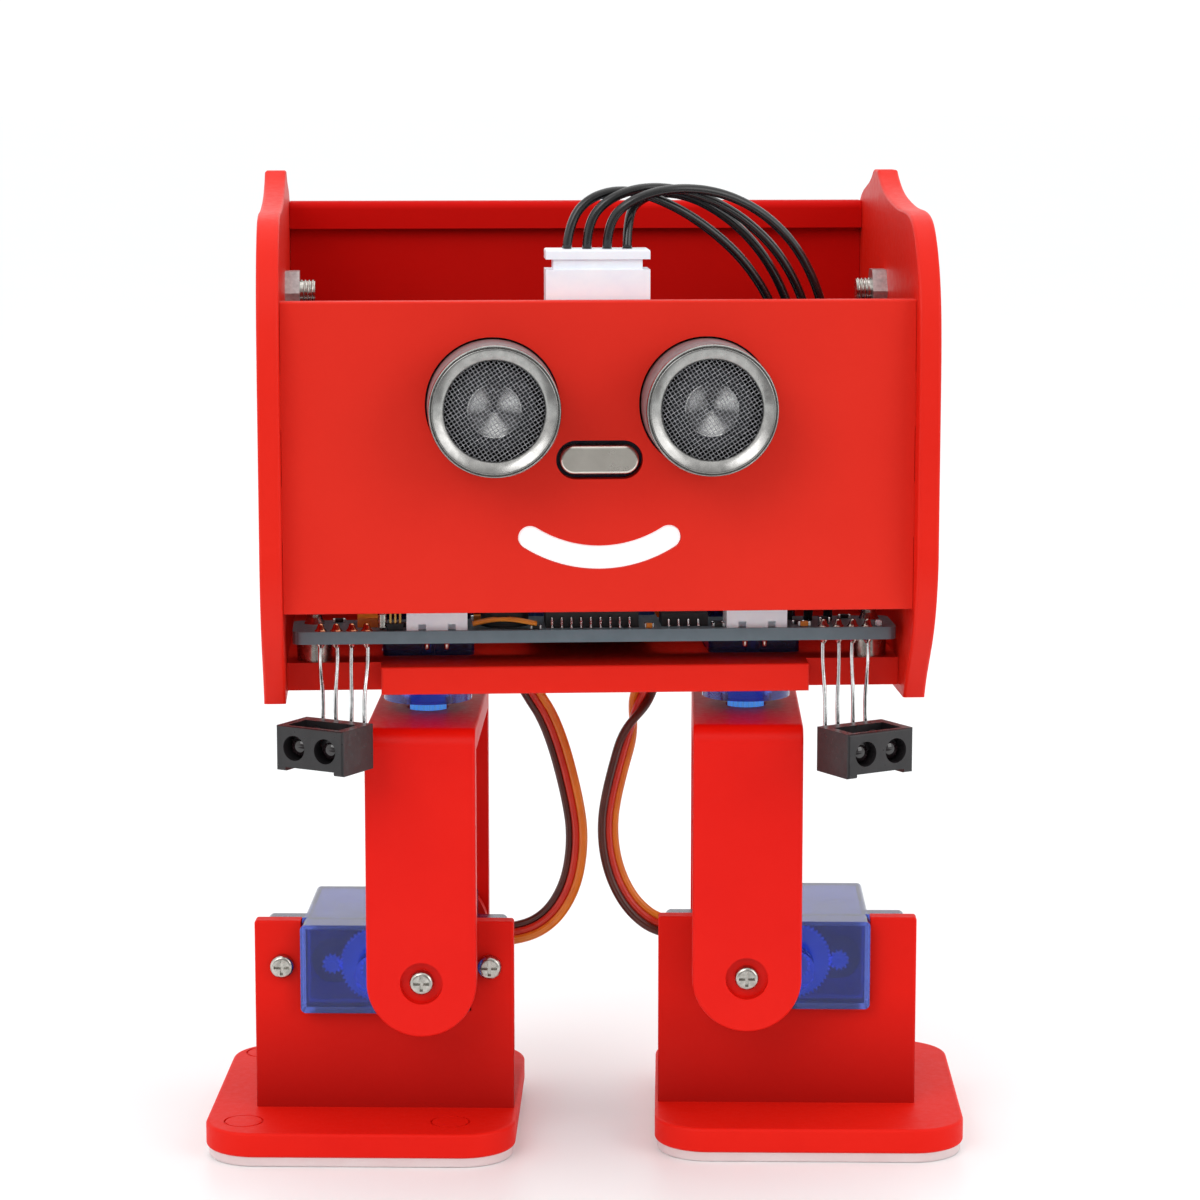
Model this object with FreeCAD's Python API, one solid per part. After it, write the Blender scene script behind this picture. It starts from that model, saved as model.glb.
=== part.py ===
import FreeCAD, Part
import math
import os

# Two-legged walking robot kit: red box body on two hip servos, two inverted-U
# legs, two ankle servos standing in rounded feet.
# Millimetres. +Z up, front of the robot is -Y, +X is the robot's right-hand
# side as seen from the front. Origin: centre of the footprint, on the floor.

os.makedirs("parts", exist_ok=True)
V = FreeCAD.Vector

# ---------------------------------------------------------------- dimensions
Y_SHIFT = 3.0          # from the hip-axis plane to the middle of the depth
X_SHIFT = -0.125         # centres the width over the footprint
REST_TURN = -4.5       # degrees that both legs stand turned about their hip axes

HIP_X = 21.4           # hip and ankle axes, each side of the middle
ANKLE_Z = 24.1         # ankle axis above the floor
FOOT_IN, FOOT_OUT = 9.3, 50.4      # foot plate edges, inner and outer
FOOT_FRONT, FOOT_BACK = -20.4, 23.6
PAD_T = 1.3            # soft pad under the foot
FOOT_TOP = 4.6         # top of the foot plate
BR_Y0, BR_T = -8.0, 2.3            # front bracket: front plane, thickness
BR_TOP = 30.2
RB_Y0, RB_Y1 = 13.1, 15.3          # rear bracket plate

LEG_R = 7.2            # half the leg's width, and its round end
LEG_Y0, LEG_YB = -17.3, 18.6       # outer faces of the U
ARM_T = 2.9
LEG_TOP, LEG_PLATE = 57.8, 3.0

SERVO_FACE = -10.0     # ankle servo's output face
HIP_FACE = 62.3        # hip servo's output face, downwards
S_NEAR, S_FAR = 5.9, 16.6          # body ends from the output axis
S_HALF = 6.0
S_DEPTH = 22.7
FL_A, FL_B = 4.3, 6.8              # flange, below the output face
FL_NEAR, FL_FAR = 10.75, 21.45
HOLE_MID, HOLE_HALF = 5.35, 13.85  # flange screws
BOSS_R, BOSS_H = 5.9, 3.2
SPLINE_R = 2.45
IDLER_C = 6.4          # output axis to idler axis
PINION_C = 12.6        # output axis to motor axis
MOD = 0.2
N_OUT, N_ISMALL, N_IBIG, N_PIN = 43, 21, 50, 12

PLATE_Z0, PLATE_Z1 = 63.0, 66.6    # bottom plate
IN_X, OUT_X = 39.8, 42.6           # side panels, inner and outer face
FR_Y0, FR_T = -28.0, 2.5           # front panel
FR_Z0, FR_Z1 = 74.8, 114.0
BK_Y0, BK_Y1 = 26.6, 29.0          # back panel
BK_TOP = 124.3

EYE_X, EYE_Z, EYE_R = 13.4, 101.1, 8.2
EYE_FRONT = -37.5
SB_Y0, SB_Y1 = -25.2, -23.6        # distance sensor's board
PCB_Z0, PCB_Z1 = 69.75, 71.35      # main board
PCB_FRONT, PCB_BACK = -20.5, -10.6
WIRE_D = 1.2
LEAD_D = 2.0           # bundle of three 1.2 mm wires, seen as one round cord

NODES = []


# ------------------------------------------------------------------- helpers
def box(x0, x1, y0, y1, z0, z1):
    x0, x1 = min(x0, x1), max(x0, x1)
    y0, y1 = min(y0, y1), max(y0, y1)
    z0, z1 = min(z0, z1), max(z0, z1)
    return Part.makeBox(x1 - x0, y1 - y0, z1 - z0, V(x0, y0, z0))


def cyl(r, a, b):
    d = V(*b) - V(*a)
    return Part.makeCylinder(r, d.Length, V(*a), d)


def cone(r1, r2, a, b):
    d = V(*b) - V(*a)
    return Part.makeCone(r1, r2, d.Length, V(*a), d)


def safe_fillet(shape, radius, pick):
    edges = [e for e in shape.Edges if pick(e)]
    if not edges:
        return shape
    try:
        f = shape.makeFillet(radius, edges)
        if f.isValid() and abs(f.Volume - shape.Volume) < 0.3 * shape.Volume:
            return f
    except Exception:
        pass
    return shape


def along(e, axis):
    a, b = e.Vertexes[0].Point, e.Vertexes[-1].Point
    d = b - a
    if d.Length < 1e-6:
        return False
    d.normalize()
    return abs(abs(d.dot(V(*axis))) - 1) < 1e-6 and type(e.Curve).__name__ == "Line"


def rounded_plate(x0, x1, y0, y1, z0, z1, r):
    """Plate with its four upright corners rounded."""
    x0, x1 = min(x0, x1), max(x0, x1)
    b = box(x0, x1, y0, y1, z0, z1)
    return b.makeFillet(r, [e for e in b.Edges if along(e, (0, 0, 1))])


def at_z(e, z, tol=1e-4):
    bb = e.BoundBox
    return abs(bb.ZMin - z) < tol and abs(bb.ZMax - z) < tol


def at_y(e, y, tol=1e-4):
    bb = e.BoundBox
    return abs(bb.YMin - y) < tol and abs(bb.YMax - y) < tol


def stadium(cx, cz, w, h, y0, y1):
    """Slot with round ends, long side along X, cut along Y."""
    r = h / 2.0
    a = w / 2.0 - r
    s = box(cx - a, cx + a, y0, y1, cz - r, cz + r)
    s = s.fuse(cyl(r, (cx - a, y0, cz), (cx - a, y1, cz)))
    s = s.fuse(cyl(r, (cx + a, y0, cz), (cx + a, y1, cz)))
    return s.removeSplitter()


def smile(half, sag, thick, zmid, y0, y1):
    """Arched band with round ends; zmid is the middle of the band at its lowest."""
    big = (half * half + sag * sag) / (2.0 * sag)
    c = V(0, y0, zmid + big)
    ang = math.asin(half / big)

    def p(rad, a):
        return V(rad * math.sin(a), y0, c.z - rad * math.cos(a))

    ro, ri, h = big + thick / 2.0, big - thick / 2.0, thick / 2.0
    pe = [p(ro, -ang), p(ro, 0), p(ro, ang), p(ri, ang), p(ri, 0), p(ri, -ang)]

    def end(a, sgn):
        m = p(big, a)
        return m + V(sgn * math.cos(a) * h, 0, sgn * math.sin(a) * h)

    edges = [
        Part.Arc(pe[0], pe[1], pe[2]).toShape(),
        Part.Arc(pe[2], end(ang, 1), pe[3]).toShape(),
        Part.Arc(pe[3], pe[4], pe[5]).toShape(),
        Part.Arc(pe[5], end(-ang, -1), pe[0]).toShape(),
    ]
    w = Part.Wire(Part.__sortEdges__(edges))
    return Part.Face(w).extrude(V(0, y1 - y0, 0))


def gear(n, r_tip, r_root, z0, z1, phase=0.0, share=0.36, tip_share=0.16):
    """Spur gear about Z; share is the tooth's width at its root over the pitch."""
    pts = []
    step = 2 * math.pi / n
    for i in range(n):
        a = phase + i * step
        for off, rad in (
            (-share / 2 - 0.02, r_root),
            (-tip_share / 2, r_tip),
            (tip_share / 2, r_tip),
            (share / 2 + 0.02, r_root),
        ):
            t = a + off * step
            pts.append(V(rad * math.cos(t), rad * math.sin(t), z0))
    pts.append(pts[0])
    return Part.Face(Part.makePolygon(pts)).extrude(V(0, 0, z1 - z0))


def tube(name, pts, dia):
    """Free cord: straight runs joined by tangent arcs, round section."""
    P = [V(*p) for p in pts]
    edges, last, radii, length = [], P[0], [], 0.0
    for i in range(1, len(P) - 1):
        a, b, c = P[i - 1], P[i], P[i + 1]
        u, w = (b - a), (c - b)
        run = min(u.Length, w.Length)
        u.normalize()
        w.normalize()
        turn = math.acos(max(-1.0, min(1.0, u.dot(w))))
        t = 0.45 * run
        r = t / math.tan(turn / 2.0)
        radii.append(r)
        s, e = b - u * t, b + w * t
        bis = (w - u)
        bis.normalize()
        mid = b + bis * (r / math.cos(turn / 2.0) - r)
        edges.append(Part.LineSegment(last, s).toShape())
        edges.append(Part.Arc(s, mid, e).toShape())
        last = e
    edges.append(Part.LineSegment(last, P[-1]).toShape())
    length = sum(e.Length for e in edges)
    path = Part.Wire(edges)
    d = P[1] - P[0]
    prof = Part.Wire([Part.makeCircle(dia / 2.0, P[0], d)])
    s = path.makePipeShell([prof], True, False)
    want = math.pi * dia * dia / 4.0 * length
    print("%-22s length %.2f mm, smallest bend radius %.2f mm (%.1f diameters), volume/section*length %.4f"
          % (name, length, min(radii), min(radii) / dia, s.Volume / want))
    return s


def place(shape, origin, u, w):
    """Local x along u, local z along w."""
    u, w = V(*u), V(*w)
    v = w.cross(u)
    m = FreeCAD.Matrix(u.x, v.x, w.x, origin[0],
                       u.y, v.y, w.y, origin[1],
                       u.z, v.z, w.z, origin[2],
                       0, 0, 0, 1)
    s = shape.copy()
    s.transformShape(m, True)
    return s


def out(name, shape):
    s = shape.copy()
    s.translate(V(X_SHIFT, Y_SHIFT, 0))
    solids = s.Solids
    ok = s.isValid() and len(solids) > 0 and all(x.Volume > 0 for x in solids)
    final = solids[0] if len(solids) == 1 else Part.makeCompound(solids)
    final.exportStep("parts/%s.step" % name)
    NODES.append(name)
    bb = final.BoundBox
    print("%-24s solids %d vol %9.2f  x %.2f..%.2f y %.2f..%.2f z %.2f..%.2f %s"
          % (name, len(solids), final.Volume, bb.XMin, bb.XMax, bb.YMin, bb.YMax,
             bb.ZMin, bb.ZMax, "" if ok else "  <-- INVALID"))
    return final


def group(shapes):
    return Part.makeCompound([x for s in shapes for x in s.Solids])


# ----------------------------------------------------- micro servo, local frame
# local z is the output direction, z = 0 is the output face, local x runs to the
# long end of the body.
def servo_case():
    body = box(-S_NEAR, S_FAR, -S_HALF, S_HALF, -S_DEPTH, 0)
    body = body.makeFillet(0.7, [e for e in body.Edges if along(e, (0, 0, 1))])
    fl = box(-FL_NEAR, FL_FAR, -S_HALF, S_HALF, -FL_B, -FL_A)
    fl = fl.makeFillet(0.8, [e for e in fl.Edges if along(e, (0, 0, 1))])
    s = body.fuse(fl)
    s = s.fuse(cyl(BOSS_R, (0, 0, -0.2), (0, 0, BOSS_H)))
    s = s.fuse(cyl(2.75, (IDLER_C, 0, -0.2), (IDLER_C, 0, BOSS_H)))
    s = s.removeSplitter()
    s = s.cut(box(-5.2, 15.9, -5.3, 5.3, -4.0, -0.8))
    s = s.cut(box(-5.0, 15.7, -5.2, 5.2, -21.9, -5.2))
    s = s.cut(cyl(SPLINE_R + 0.1, (0, 0, -1.0), (0, 0, BOSS_H + 1)))
    s = s.cut(cyl(0.86, (IDLER_C, 0, -5.0), (IDLER_C, 0, 0.7)))
    s = s.cut(cyl(0.58, (PINION_C, 0, -5.4), (PINION_C, 0, -3.9)))
    s = s.cut(box(-S_NEAR - 1, -4.9, -1.9, 1.9, -20.2, -18.4))
    for sg in (-1, 1):
        x = HOLE_MID + sg * HOLE_HALF
        s = s.cut(cyl(1.05, (x, 0, -FL_B - 1), (x, 0, -FL_A + 1)))
    return s


def servo_motor():
    m = cyl(3.15, (PINION_C - 0.2, 0, -20.6), (PINION_C - 0.2, 0, -5.5))
    m = m.cut(cyl(0.6, (PINION_C, 0, -8.2), (PINION_C, 0, -5.0)))
    m = m.cut(box(0, 30, 3.0, 9, -30, 0)).cut(box(0, 30, -9, -3.0, -30, 0))
    b = box(-3.9, 8.2, -4.6, 4.6, -19.4, -18.4)
    b = b.cut(cyl(0.5, (-2.6, 3.2, -30), (-2.6, 3.2, 0)))
    chip = box(0.5, 4.6, -2.2, 2.2, -18.4, -17.2)
    return group([m, b, chip])


def servo_output():
    """Output gear with its splined shaft."""
    r = MOD * N_OUT / 2.0
    g = gear(N_OUT, r + 0.13, r - 0.22, -2.35, -1.15)
    g = g.fuse(cyl(SPLINE_R - 0.1, (0, 0, -1.5), (0, 0, BOSS_H + 0.4)))
    sp = gear(21, SPLINE_R, SPLINE_R - 0.22, BOSS_H + 0.35, BOSS_H + 2.2, 0.0, 0.5, 0.3)
    g = g.fuse(sp)
    g = g.cut(cyl(0.75, (0, 0, -0.5), (0, 0, BOSS_H + 3)))
    return g.removeSplitter()


def servo_idler():
    big, small = MOD * N_IBIG / 2.0, MOD * N_ISMALL / 2.0
    g = gear(N_IBIG, big + 0.13, big - 0.22, -3.85, -2.65)
    g = g.fuse(gear(N_ISMALL, small + 0.13, small - 0.22, -2.7, -1.0,
                    math.pi + math.pi / N_ISMALL))
    g = g.fuse(cyl(0.8, (0, 0, -4.9), (0, 0, 0.5)))
    return g.removeSplitter()


def servo_pinion():
    r = MOD * N_PIN / 2.0
    g = gear(N_PIN, r + 0.13, r - 0.22, -3.85, -2.65, math.pi + math.pi / N_PIN)
    g = g.fuse(cyl(0.5, (0, 0, -8.0), (0, 0, -2.4)))
    return g.removeSplitter()


CASE, MOTOR, OUTPUT = servo_case(), servo_motor(), servo_output()
IDLER, PINION = servo_idler(), servo_pinion()


def shifted(shape, dx):
    s = shape.copy()
    s.translate(V(dx, 0, 0))
    return s


def pan_screw(tip_len, shank_r=0.9, head_r=1.6, head_h=1.25):
    """Pan head screw, cross recess; local z points out of the head."""
    h = cyl(head_r, (0, 0, 0), (0, 0, head_h))
    h = safe_fillet(h, 0.55, lambda e: at_z(e, head_h))
    h = h.fuse(cyl(shank_r, (0, 0, -tip_len), (0, 0, 0.1)))
    for a, b in ((1.05, 0.22), (0.22, 1.05)):
        h = h.cut(box(-a, a, -b, b, head_h - 0.65, head_h + 1))
    return h.removeSplitter()


# ---------------------------------------------------------------- the two sides
def stand(s, shape):
    """Turned with its leg about the upright hip axis."""
    c = shape.copy()
    c.rotate(V(s * HIP_X, 0, 0), V(0, 0, 1), REST_TURN)
    return c


def ankle_origin(s):
    return (s * HIP_X, SERVO_FACE, ANKLE_Z)


for s, side in ((-1, "left"), (1, "right")):
    hx = s * HIP_X

    # foot plate with its two brackets, one moulding
    foot = rounded_plate(s * FOOT_IN, s * FOOT_OUT, FOOT_FRONT, FOOT_BACK, PAD_T, FOOT_TOP, 7.0)
    foot = safe_fillet(foot, 0.45, lambda e: at_z(e, FOOT_TOP) or at_z(e, PAD_T))
    br = box(s * 9.7, s * 44.3, BR_Y0, BR_Y0 + BR_T, FOOT_TOP - 0.6, BR_TOP)
    br = safe_fillet(br, 0.4, lambda e: along(e, (0, 1, 0)) and at_z(e, BR_TOP))
    br = safe_fillet(br, 0.3, lambda e: at_y(e, BR_Y0) and e.BoundBox.ZMax > FOOT_TOP + 1)
    slot_in = s * (HIP_X - S_NEAR - 0.12)
    slot_out = s * (HIP_X + S_FAR + 0.12)
    foot = foot.fuse(br)
    # low rear bracket with the pivot stub for the back of the leg
    rb = box(s * (HIP_X - 7.2), s * (HIP_X + 7.2), RB_Y0, RB_Y1, FOOT_TOP - 0.6, ANKLE_Z)
    rb = rb.fuse(cyl(7.2, (hx, RB_Y0, ANKLE_Z), (hx, RB_Y1, ANKLE_Z)))
    rb = rb.removeSplitter()
    foot = foot.fuse(rb)
    foot = foot.fuse(cyl(3.4, (hx, RB_Y1 - 0.2, ANKLE_Z), (hx, RB_Y1 + 0.25, ANKLE_Z)))
    foot = foot.fuse(cyl(2.5, (hx, RB_Y1 - 0.2, ANKLE_Z), (hx, LEG_YB + 0.3, ANKLE_Z)))
    # side rails between the brackets
    foot = foot.fuse(box(s * 41.9, s * 44.1, BR_Y0 + BR_T - 0.1, RB_Y1, FOOT_TOP - 0.6, 9.5))
    foot = foot.fuse(box(s * (HIP_X + 7.0), s * 43.0, RB_Y0, RB_Y1, FOOT_TOP - 0.6, 9.5))
    foot = foot.cut(box(slot_in, slot_out, BR_Y0 - 5, BR_Y0 + BR_T + 0.01,
                        ANKLE_Z - S_HALF - 0.12, BR_TOP + 5))
    for sg in (-1, 1):
        x = s * (HIP_X + HOLE_MID + sg * HOLE_HALF)
        # the right foot's screws come from behind and end inside the bracket
        hole_front = BR_Y0 - 1 if s < 0 else BR_Y0 + 0.5
        foot = foot.cut(cyl(0.97, (x, hole_front, ANKLE_Z), (x, BR_Y0 + BR_T + 1, ANKLE_Z)))
    if s < 0:
        for x, y in ((-45.3, -14.6), (-17.9, -14.4), (-46.2, 18.6)):
            ring = cyl(2.65, (x, y, FOOT_TOP - 0.25), (x, y, FOOT_TOP + 1))
            ring = ring.cut(cyl(2.4, (x, y, FOOT_TOP - 1), (x, y, FOOT_TOP + 2)))
            foot = foot.cut(ring)
    foot = foot.removeSplitter()
    out("foot_" + side, stand(s, foot))

    pad = rounded_plate(s * (FOOT_IN + 0.35), s * (FOOT_OUT - 0.35),
                        FOOT_FRONT + 0.35, FOOT_BACK - 0.35, 0, PAD_T, 6.7)
    pad = safe_fillet(pad, 0.3, lambda e: at_z(e, 0))
    out("foot_pad_" + side, stand(s, pad))

    # ankle servo, standing in the bracket slot, output forward
    o, u, w = ankle_origin(s), (s, 0, 0), (0, -1, 0)
    out("ankle_servo_case_" + side, stand(s, place(CASE, o, u, w)))
    out("ankle_motor_" + side, stand(s, place(MOTOR, o, u, w)))
    out("ankle_idler_gear_" + side, stand(s, place(shifted(IDLER, IDLER_C), o, u, w)))
    out("ankle_motor_pinion_" + side, stand(s, place(shifted(PINION, PINION_C), o, u, w)))
    out("ankle_output_gear_" + side, stand(s, place(OUTPUT, o, u, w)))

    # hip servo, through the bottom plate, output down, body to the back
    ho, hu, hw = (hx, 0, HIP_FACE), (0, 1, 0), (0, 0, -1)
    out("hip_servo_case_" + side, place(CASE, ho, hu, hw))
    out("hip_output_gear_" + side, stand(s, place(OUTPUT, ho, hu, hw)))

    # leg: inverted U
    z1 = LEG_TOP
    prof = [V(hx - LEG_R, LEG_Y0, ANKLE_Z), V(hx - LEG_R, LEG_YB, z1)]
    leg = box(hx - LEG_R, hx + LEG_R, LEG_Y0, LEG_YB, ANKLE_Z, z1)
    leg = leg.makeFillet(2.2, [e for e in leg.Edges
                               if along(e, (1, 0, 0)) and at_z(e, z1)])
    leg = leg.cut(box(hx - 20, hx + 20, LEG_Y0 + ARM_T, LEG_YB - ARM_T, 0, z1 - LEG_PLATE))
    leg = leg.fuse(cyl(LEG_R, (hx, LEG_Y0, ANKLE_Z), (hx, LEG_Y0 + ARM_T, ANKLE_Z)))
    leg = leg.fuse(cyl(LEG_R, (hx, LEG_YB - ARM_T, ANKLE_Z), (hx, LEG_YB, ANKLE_Z)))
    leg = leg.removeSplitter()
    leg = safe_fillet(leg, 0.35, lambda e: at_y(e, LEG_Y0) and e.BoundBox.ZMax < z1 - 1)
    # front arm: spline socket behind, counterbored screw hole in front
    fi = LEG_Y0 + ARM_T
    leg = leg.cut(cyl(SPLINE_R + 0.03, (hx, fi + 1, ANKLE_Z), (hx, fi - 1.25, ANKLE_Z)))
    leg = leg.cut(cyl(2.8, (hx, LEG_Y0 - 1, ANKLE_Z), (hx, LEG_Y0 + 1.15, ANKLE_Z)))
    leg = leg.cut(cyl(0.95, (hx, LEG_Y0 - 1, ANKLE_Z), (hx, fi + 1, ANKLE_Z)))
    # rear arm: pivot hole on the foot's stub
    leg = leg.cut(cyl(2.56, (hx, LEG_YB - 6, ANKLE_Z), (hx, LEG_YB + 2, ANKLE_Z)))
    # top plate: spline socket from above, counterbored screw hole from below
    leg = leg.cut(cyl(SPLINE_R + 0.03, (hx, 0, z1 + 1), (hx, 0, z1 - 1.25)))
    leg = leg.cut(cone(2.9, SPLINE_R + 0.03, (hx, 0, z1 + 0.01), (hx, 0, z1 - 0.45)))
    leg = leg.cut(cyl(2.8, (hx, 0, z1 - LEG_PLATE - 1), (hx, 0, z1 - LEG_PLATE + 1.15)))
    leg = leg.cut(cyl(0.95, (hx, 0, z1 - LEG_PLATE - 1), (hx, 0, z1 + 1)))
    out("leg_" + side, stand(s, leg))

    # horn screws: one at the ankle, one up into the hip spline
    sc = pan_screw(2.9, 0.7)
    a = place(sc, (hx, LEG_Y0 + 1.15, ANKLE_Z), (1, 0, 0), (0, -1, 0))
    b = place(sc, (hx, 0, z1 - LEG_PLATE + 1.15), (1, 0, 0), (0, 0, -1))
    out("horn_screws_" + side, stand(s, group([a, b])))

    # flange screws of the ankle servo: heads in front on the left foot,
    # behind the flange on the right foot
    fs = []
    for sg in (-1, 1):
        x = s * (HIP_X + HOLE_MID + sg * HOLE_HALF)
        if s < 0:
            fs.append(place(pan_screw(5.6), (x, BR_Y0, ANKLE_Z), (1, 0, 0), (0, -1, 0)))
        else:
            fs.append(place(pan_screw(4.1), (x, SERVO_FACE + FL_B, ANKLE_Z), (-1, 0, 0), (0, 1, 0)))
    out("flange_screws_" + side, stand(s, group(fs)))

    # three-wire servo lead, from the ankle servo up into the body, in two parts
    # that meet beside the leg
    if s < 0:
        lower = [(-14.788, 8.808, 23.9), (-9.5, 8.5, 24.1), (-4.9, 8.7, 26.0), (-1.9, 9.4, 30.4),
                 (-0.8, 10.2, 36.0), (-1.1, 11.0, 41.4), (-2.4, 11.9, 46.6)]
        upper = [(-2.4, 11.9, 46.6), (-3.9, 12.9385, 52.6), (-7.6, 12.6, 58.4), (-10.6, 11.6, 64.6),
                 (-11.2, 10.7, 71.6), (-11.2, 10.2, 78.6)]
    else:
        lower = [(16.248, 9.734, 23.9), (11.0, 9.9, 24.4), (7.0, 10.1, 27.2), (4.4, 10.4, 31.8),
                 (3.3, 10.8, 37.2), (3.8, 11.4, 43.0), (5.6, 12.2, 49.0)]
        upper = [(5.6, 12.2, 49.0), (7.2, 12.91, 54.33), (9.6, 12.3, 59.8), (11.0, 11.4, 66.0),
                 (11.3, 10.7, 72.6), (11.2, 10.2, 79.6)]
    out("servo_lead_lower_" + side, tube("servo_lead_lower_" + side, lower, LEAD_D))
    out("servo_lead_upper_" + side, tube("servo_lead_upper_" + side, upper, LEAD_D))

# ------------------------------------------------------------------- body shell
TABS_F = ((84.0, 91.0), (98.0, 105.0))     # front panel tabs, heights
TABS_B = ((74.0, 82.0), (96.0, 104.0))
TABS_P = ((-12.0, -2.0), (12.0, 22.0))     # bottom plate tabs, along Y
SCREWS = ((1.4, 113.4), (-21.0, 94.5), (21.0, 94.5))


def side_outline(x):
    def pt(y, z):
        return V(x, y, z)

    low = Part.BSplineCurve()
    low.interpolate([pt(-20.6, 62.1), pt(-23.3, 66.0), pt(-27.9, 71.6), pt(-30.4, 77.4), pt(-31.0, 84.0)])
    front = Part.LineSegment(pt(-31.0, 84.0), pt(-31.0, 103.0))
    up = Part.BSplineCurve()
    up.interpolate([pt(-31.0, 103.0), pt(-30.6, 110.8), pt(-29.3, 116.0), pt(-26.6, 120.4),
                    pt(-22.9, 123.4), pt(-19.2, 124.4), pt(-12.0, 124.7), pt(-3.0, 125.4), pt(4.0, 126.6),
                    pt(9.9, 129.0)])
    top = Part.LineSegment(pt(9.9, 129.0), pt(13.4, 129.0))
    back = Part.BSplineCurve()
    back.interpolate([pt(13.4, 129.0), pt(20.0, 126.6), pt(26.6, 124.7), pt(30.2, 121.6), pt(31.5, 117.0)])
    rear = Part.LineSegment(pt(31.5, 117.0), pt(31.5, 65.6))
    corner = Part.Arc(pt(31.5, 65.6), pt(30.475, 63.125), pt(28.0, 62.1))
    base = Part.LineSegment(pt(28.0, 62.1), pt(-20.6, 62.1))
    return [c.toShape() for c in (low, front, up, top, back, rear, corner, base)]


for s, side in ((-1, "left"), (1, "right")):
    x0 = s * IN_X
    w = Part.Wire(side_outline(x0))
    p = Part.Face(w).extrude(V(s * (OUT_X - IN_X), 0, 0))
    p = safe_fillet(p, 0.35, lambda e: (abs(e.BoundBox.XMin - e.BoundBox.XMax) < 1e-4
                                        and e.BoundBox.YMin < 12.0 and e.Length > 3
                                        and not (at_z(e, 62.1))))
    g = 0.08
    for a, b in TABS_F:
        p = p.cut(box(s * 39, s * 44, FR_Y0 - g, FR_Y0 + FR_T + g, a - g, b + g))
    for a, b in TABS_B:
        p = p.cut(box(s * 39, s * 44, BK_Y0 - g, BK_Y1 + g, a - g, b + g))
    for a, b in TABS_P:
        p = p.cut(box(s * 39, s * 44, a - g, b + g, PLATE_Z0 - g, PLATE_Z1 + g))
    for y, z in SCREWS:
        p = p.cut(cyl(1.6, (s * 39, y, z), (s * 44, y, z)))
        p = p.cut(cone(1.6, 2.95, (s * (OUT_X - 1.4), y, z), (s * (OUT_X + 0.01), y, z)))
    out("side_panel_" + side, p)

# front panel
fp = box(-IN_X + 0.05, IN_X - 0.05, FR_Y0, FR_Y0 + FR_T, FR_Z0, FR_Z1)
for s in (-1, 1):
    for a, b in TABS_F:
        fp = fp.fuse(box(s * (IN_X - 1), s * (OUT_X - 0.05), FR_Y0, FR_Y0 + FR_T, a, b))
fp = fp.removeSplitter()
fp = safe_fillet(fp, 0.25, lambda e: at_y(e, FR_Y0) and (at_z(e, FR_Z0) or at_z(e, FR_Z1)))
for s in (-1, 1):
    fp = fp.cut(cyl(EYE_R + 0.25, (s * EYE_X, FR_Y0 - 1, EYE_Z), (s * EYE_X, FR_Y0 + 5, EYE_Z)))
fp = fp.cut(stadium(0, 94.1, 10.9, 4.9, FR_Y0 - 1, FR_Y0 + 5))
SM_HALF, SM_SAG, SM_T, SM_Z = 8.75, 2.55, 3.05, 81.75
fp = fp.cut(smile(SM_HALF, SM_SAG, SM_T, SM_Z, FR_Y0 - 1, FR_Y0 + 5))
out("front_panel", fp)
ins = smile(SM_HALF, SM_SAG, SM_T - 0.14, SM_Z, FR_Y0 + 0.35, FR_Y0 + FR_T)
ins = ins.fuse(box(-12.0, 12.0, FR_Y0 + FR_T, FR_Y0 + FR_T + 0.8, 78.6, 88.0))
out("smile_insert", ins.removeSplitter())

# back panel: top lip, switch slot, service port
bp = box(-IN_X + 0.05, IN_X - 0.05, BK_Y0, BK_Y1, PLATE_Z1 + 0.05, BK_TOP)
bp = bp.fuse(box(-IN_X + 0.05, IN_X - 0.05, BK_Y0 - 1.8, BK_Y0 + 0.5, BK_TOP - 3.7, BK_TOP))
for s in (-1, 1):
    for a, b in TABS_B:
        bp = bp.fuse(box(s * (IN_X - 1), s * (OUT_X - 0.05), BK_Y0, BK_Y1, a, b))
bp = bp.removeSplitter()
bp = safe_fillet(bp, 1.0, lambda e: along(e, (1, 0, 0)) and at_z(e, BK_TOP) and e.BoundBox.YMin < BK_Y0)
SW_X, SW_Z = 28.0, 80.0
bp = bp.cut(box(SW_X - 3.2, SW_X + 3.2, BK_Y0 - 1, BK_Y1 + 1, SW_Z - 1.4, SW_Z + 1.4))
bp = bp.cut(box(-5.6, 5.6, BK_Y0 - 1, BK_Y1 + 1, 71.0, 77.6))
out("back_panel", bp)

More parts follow.
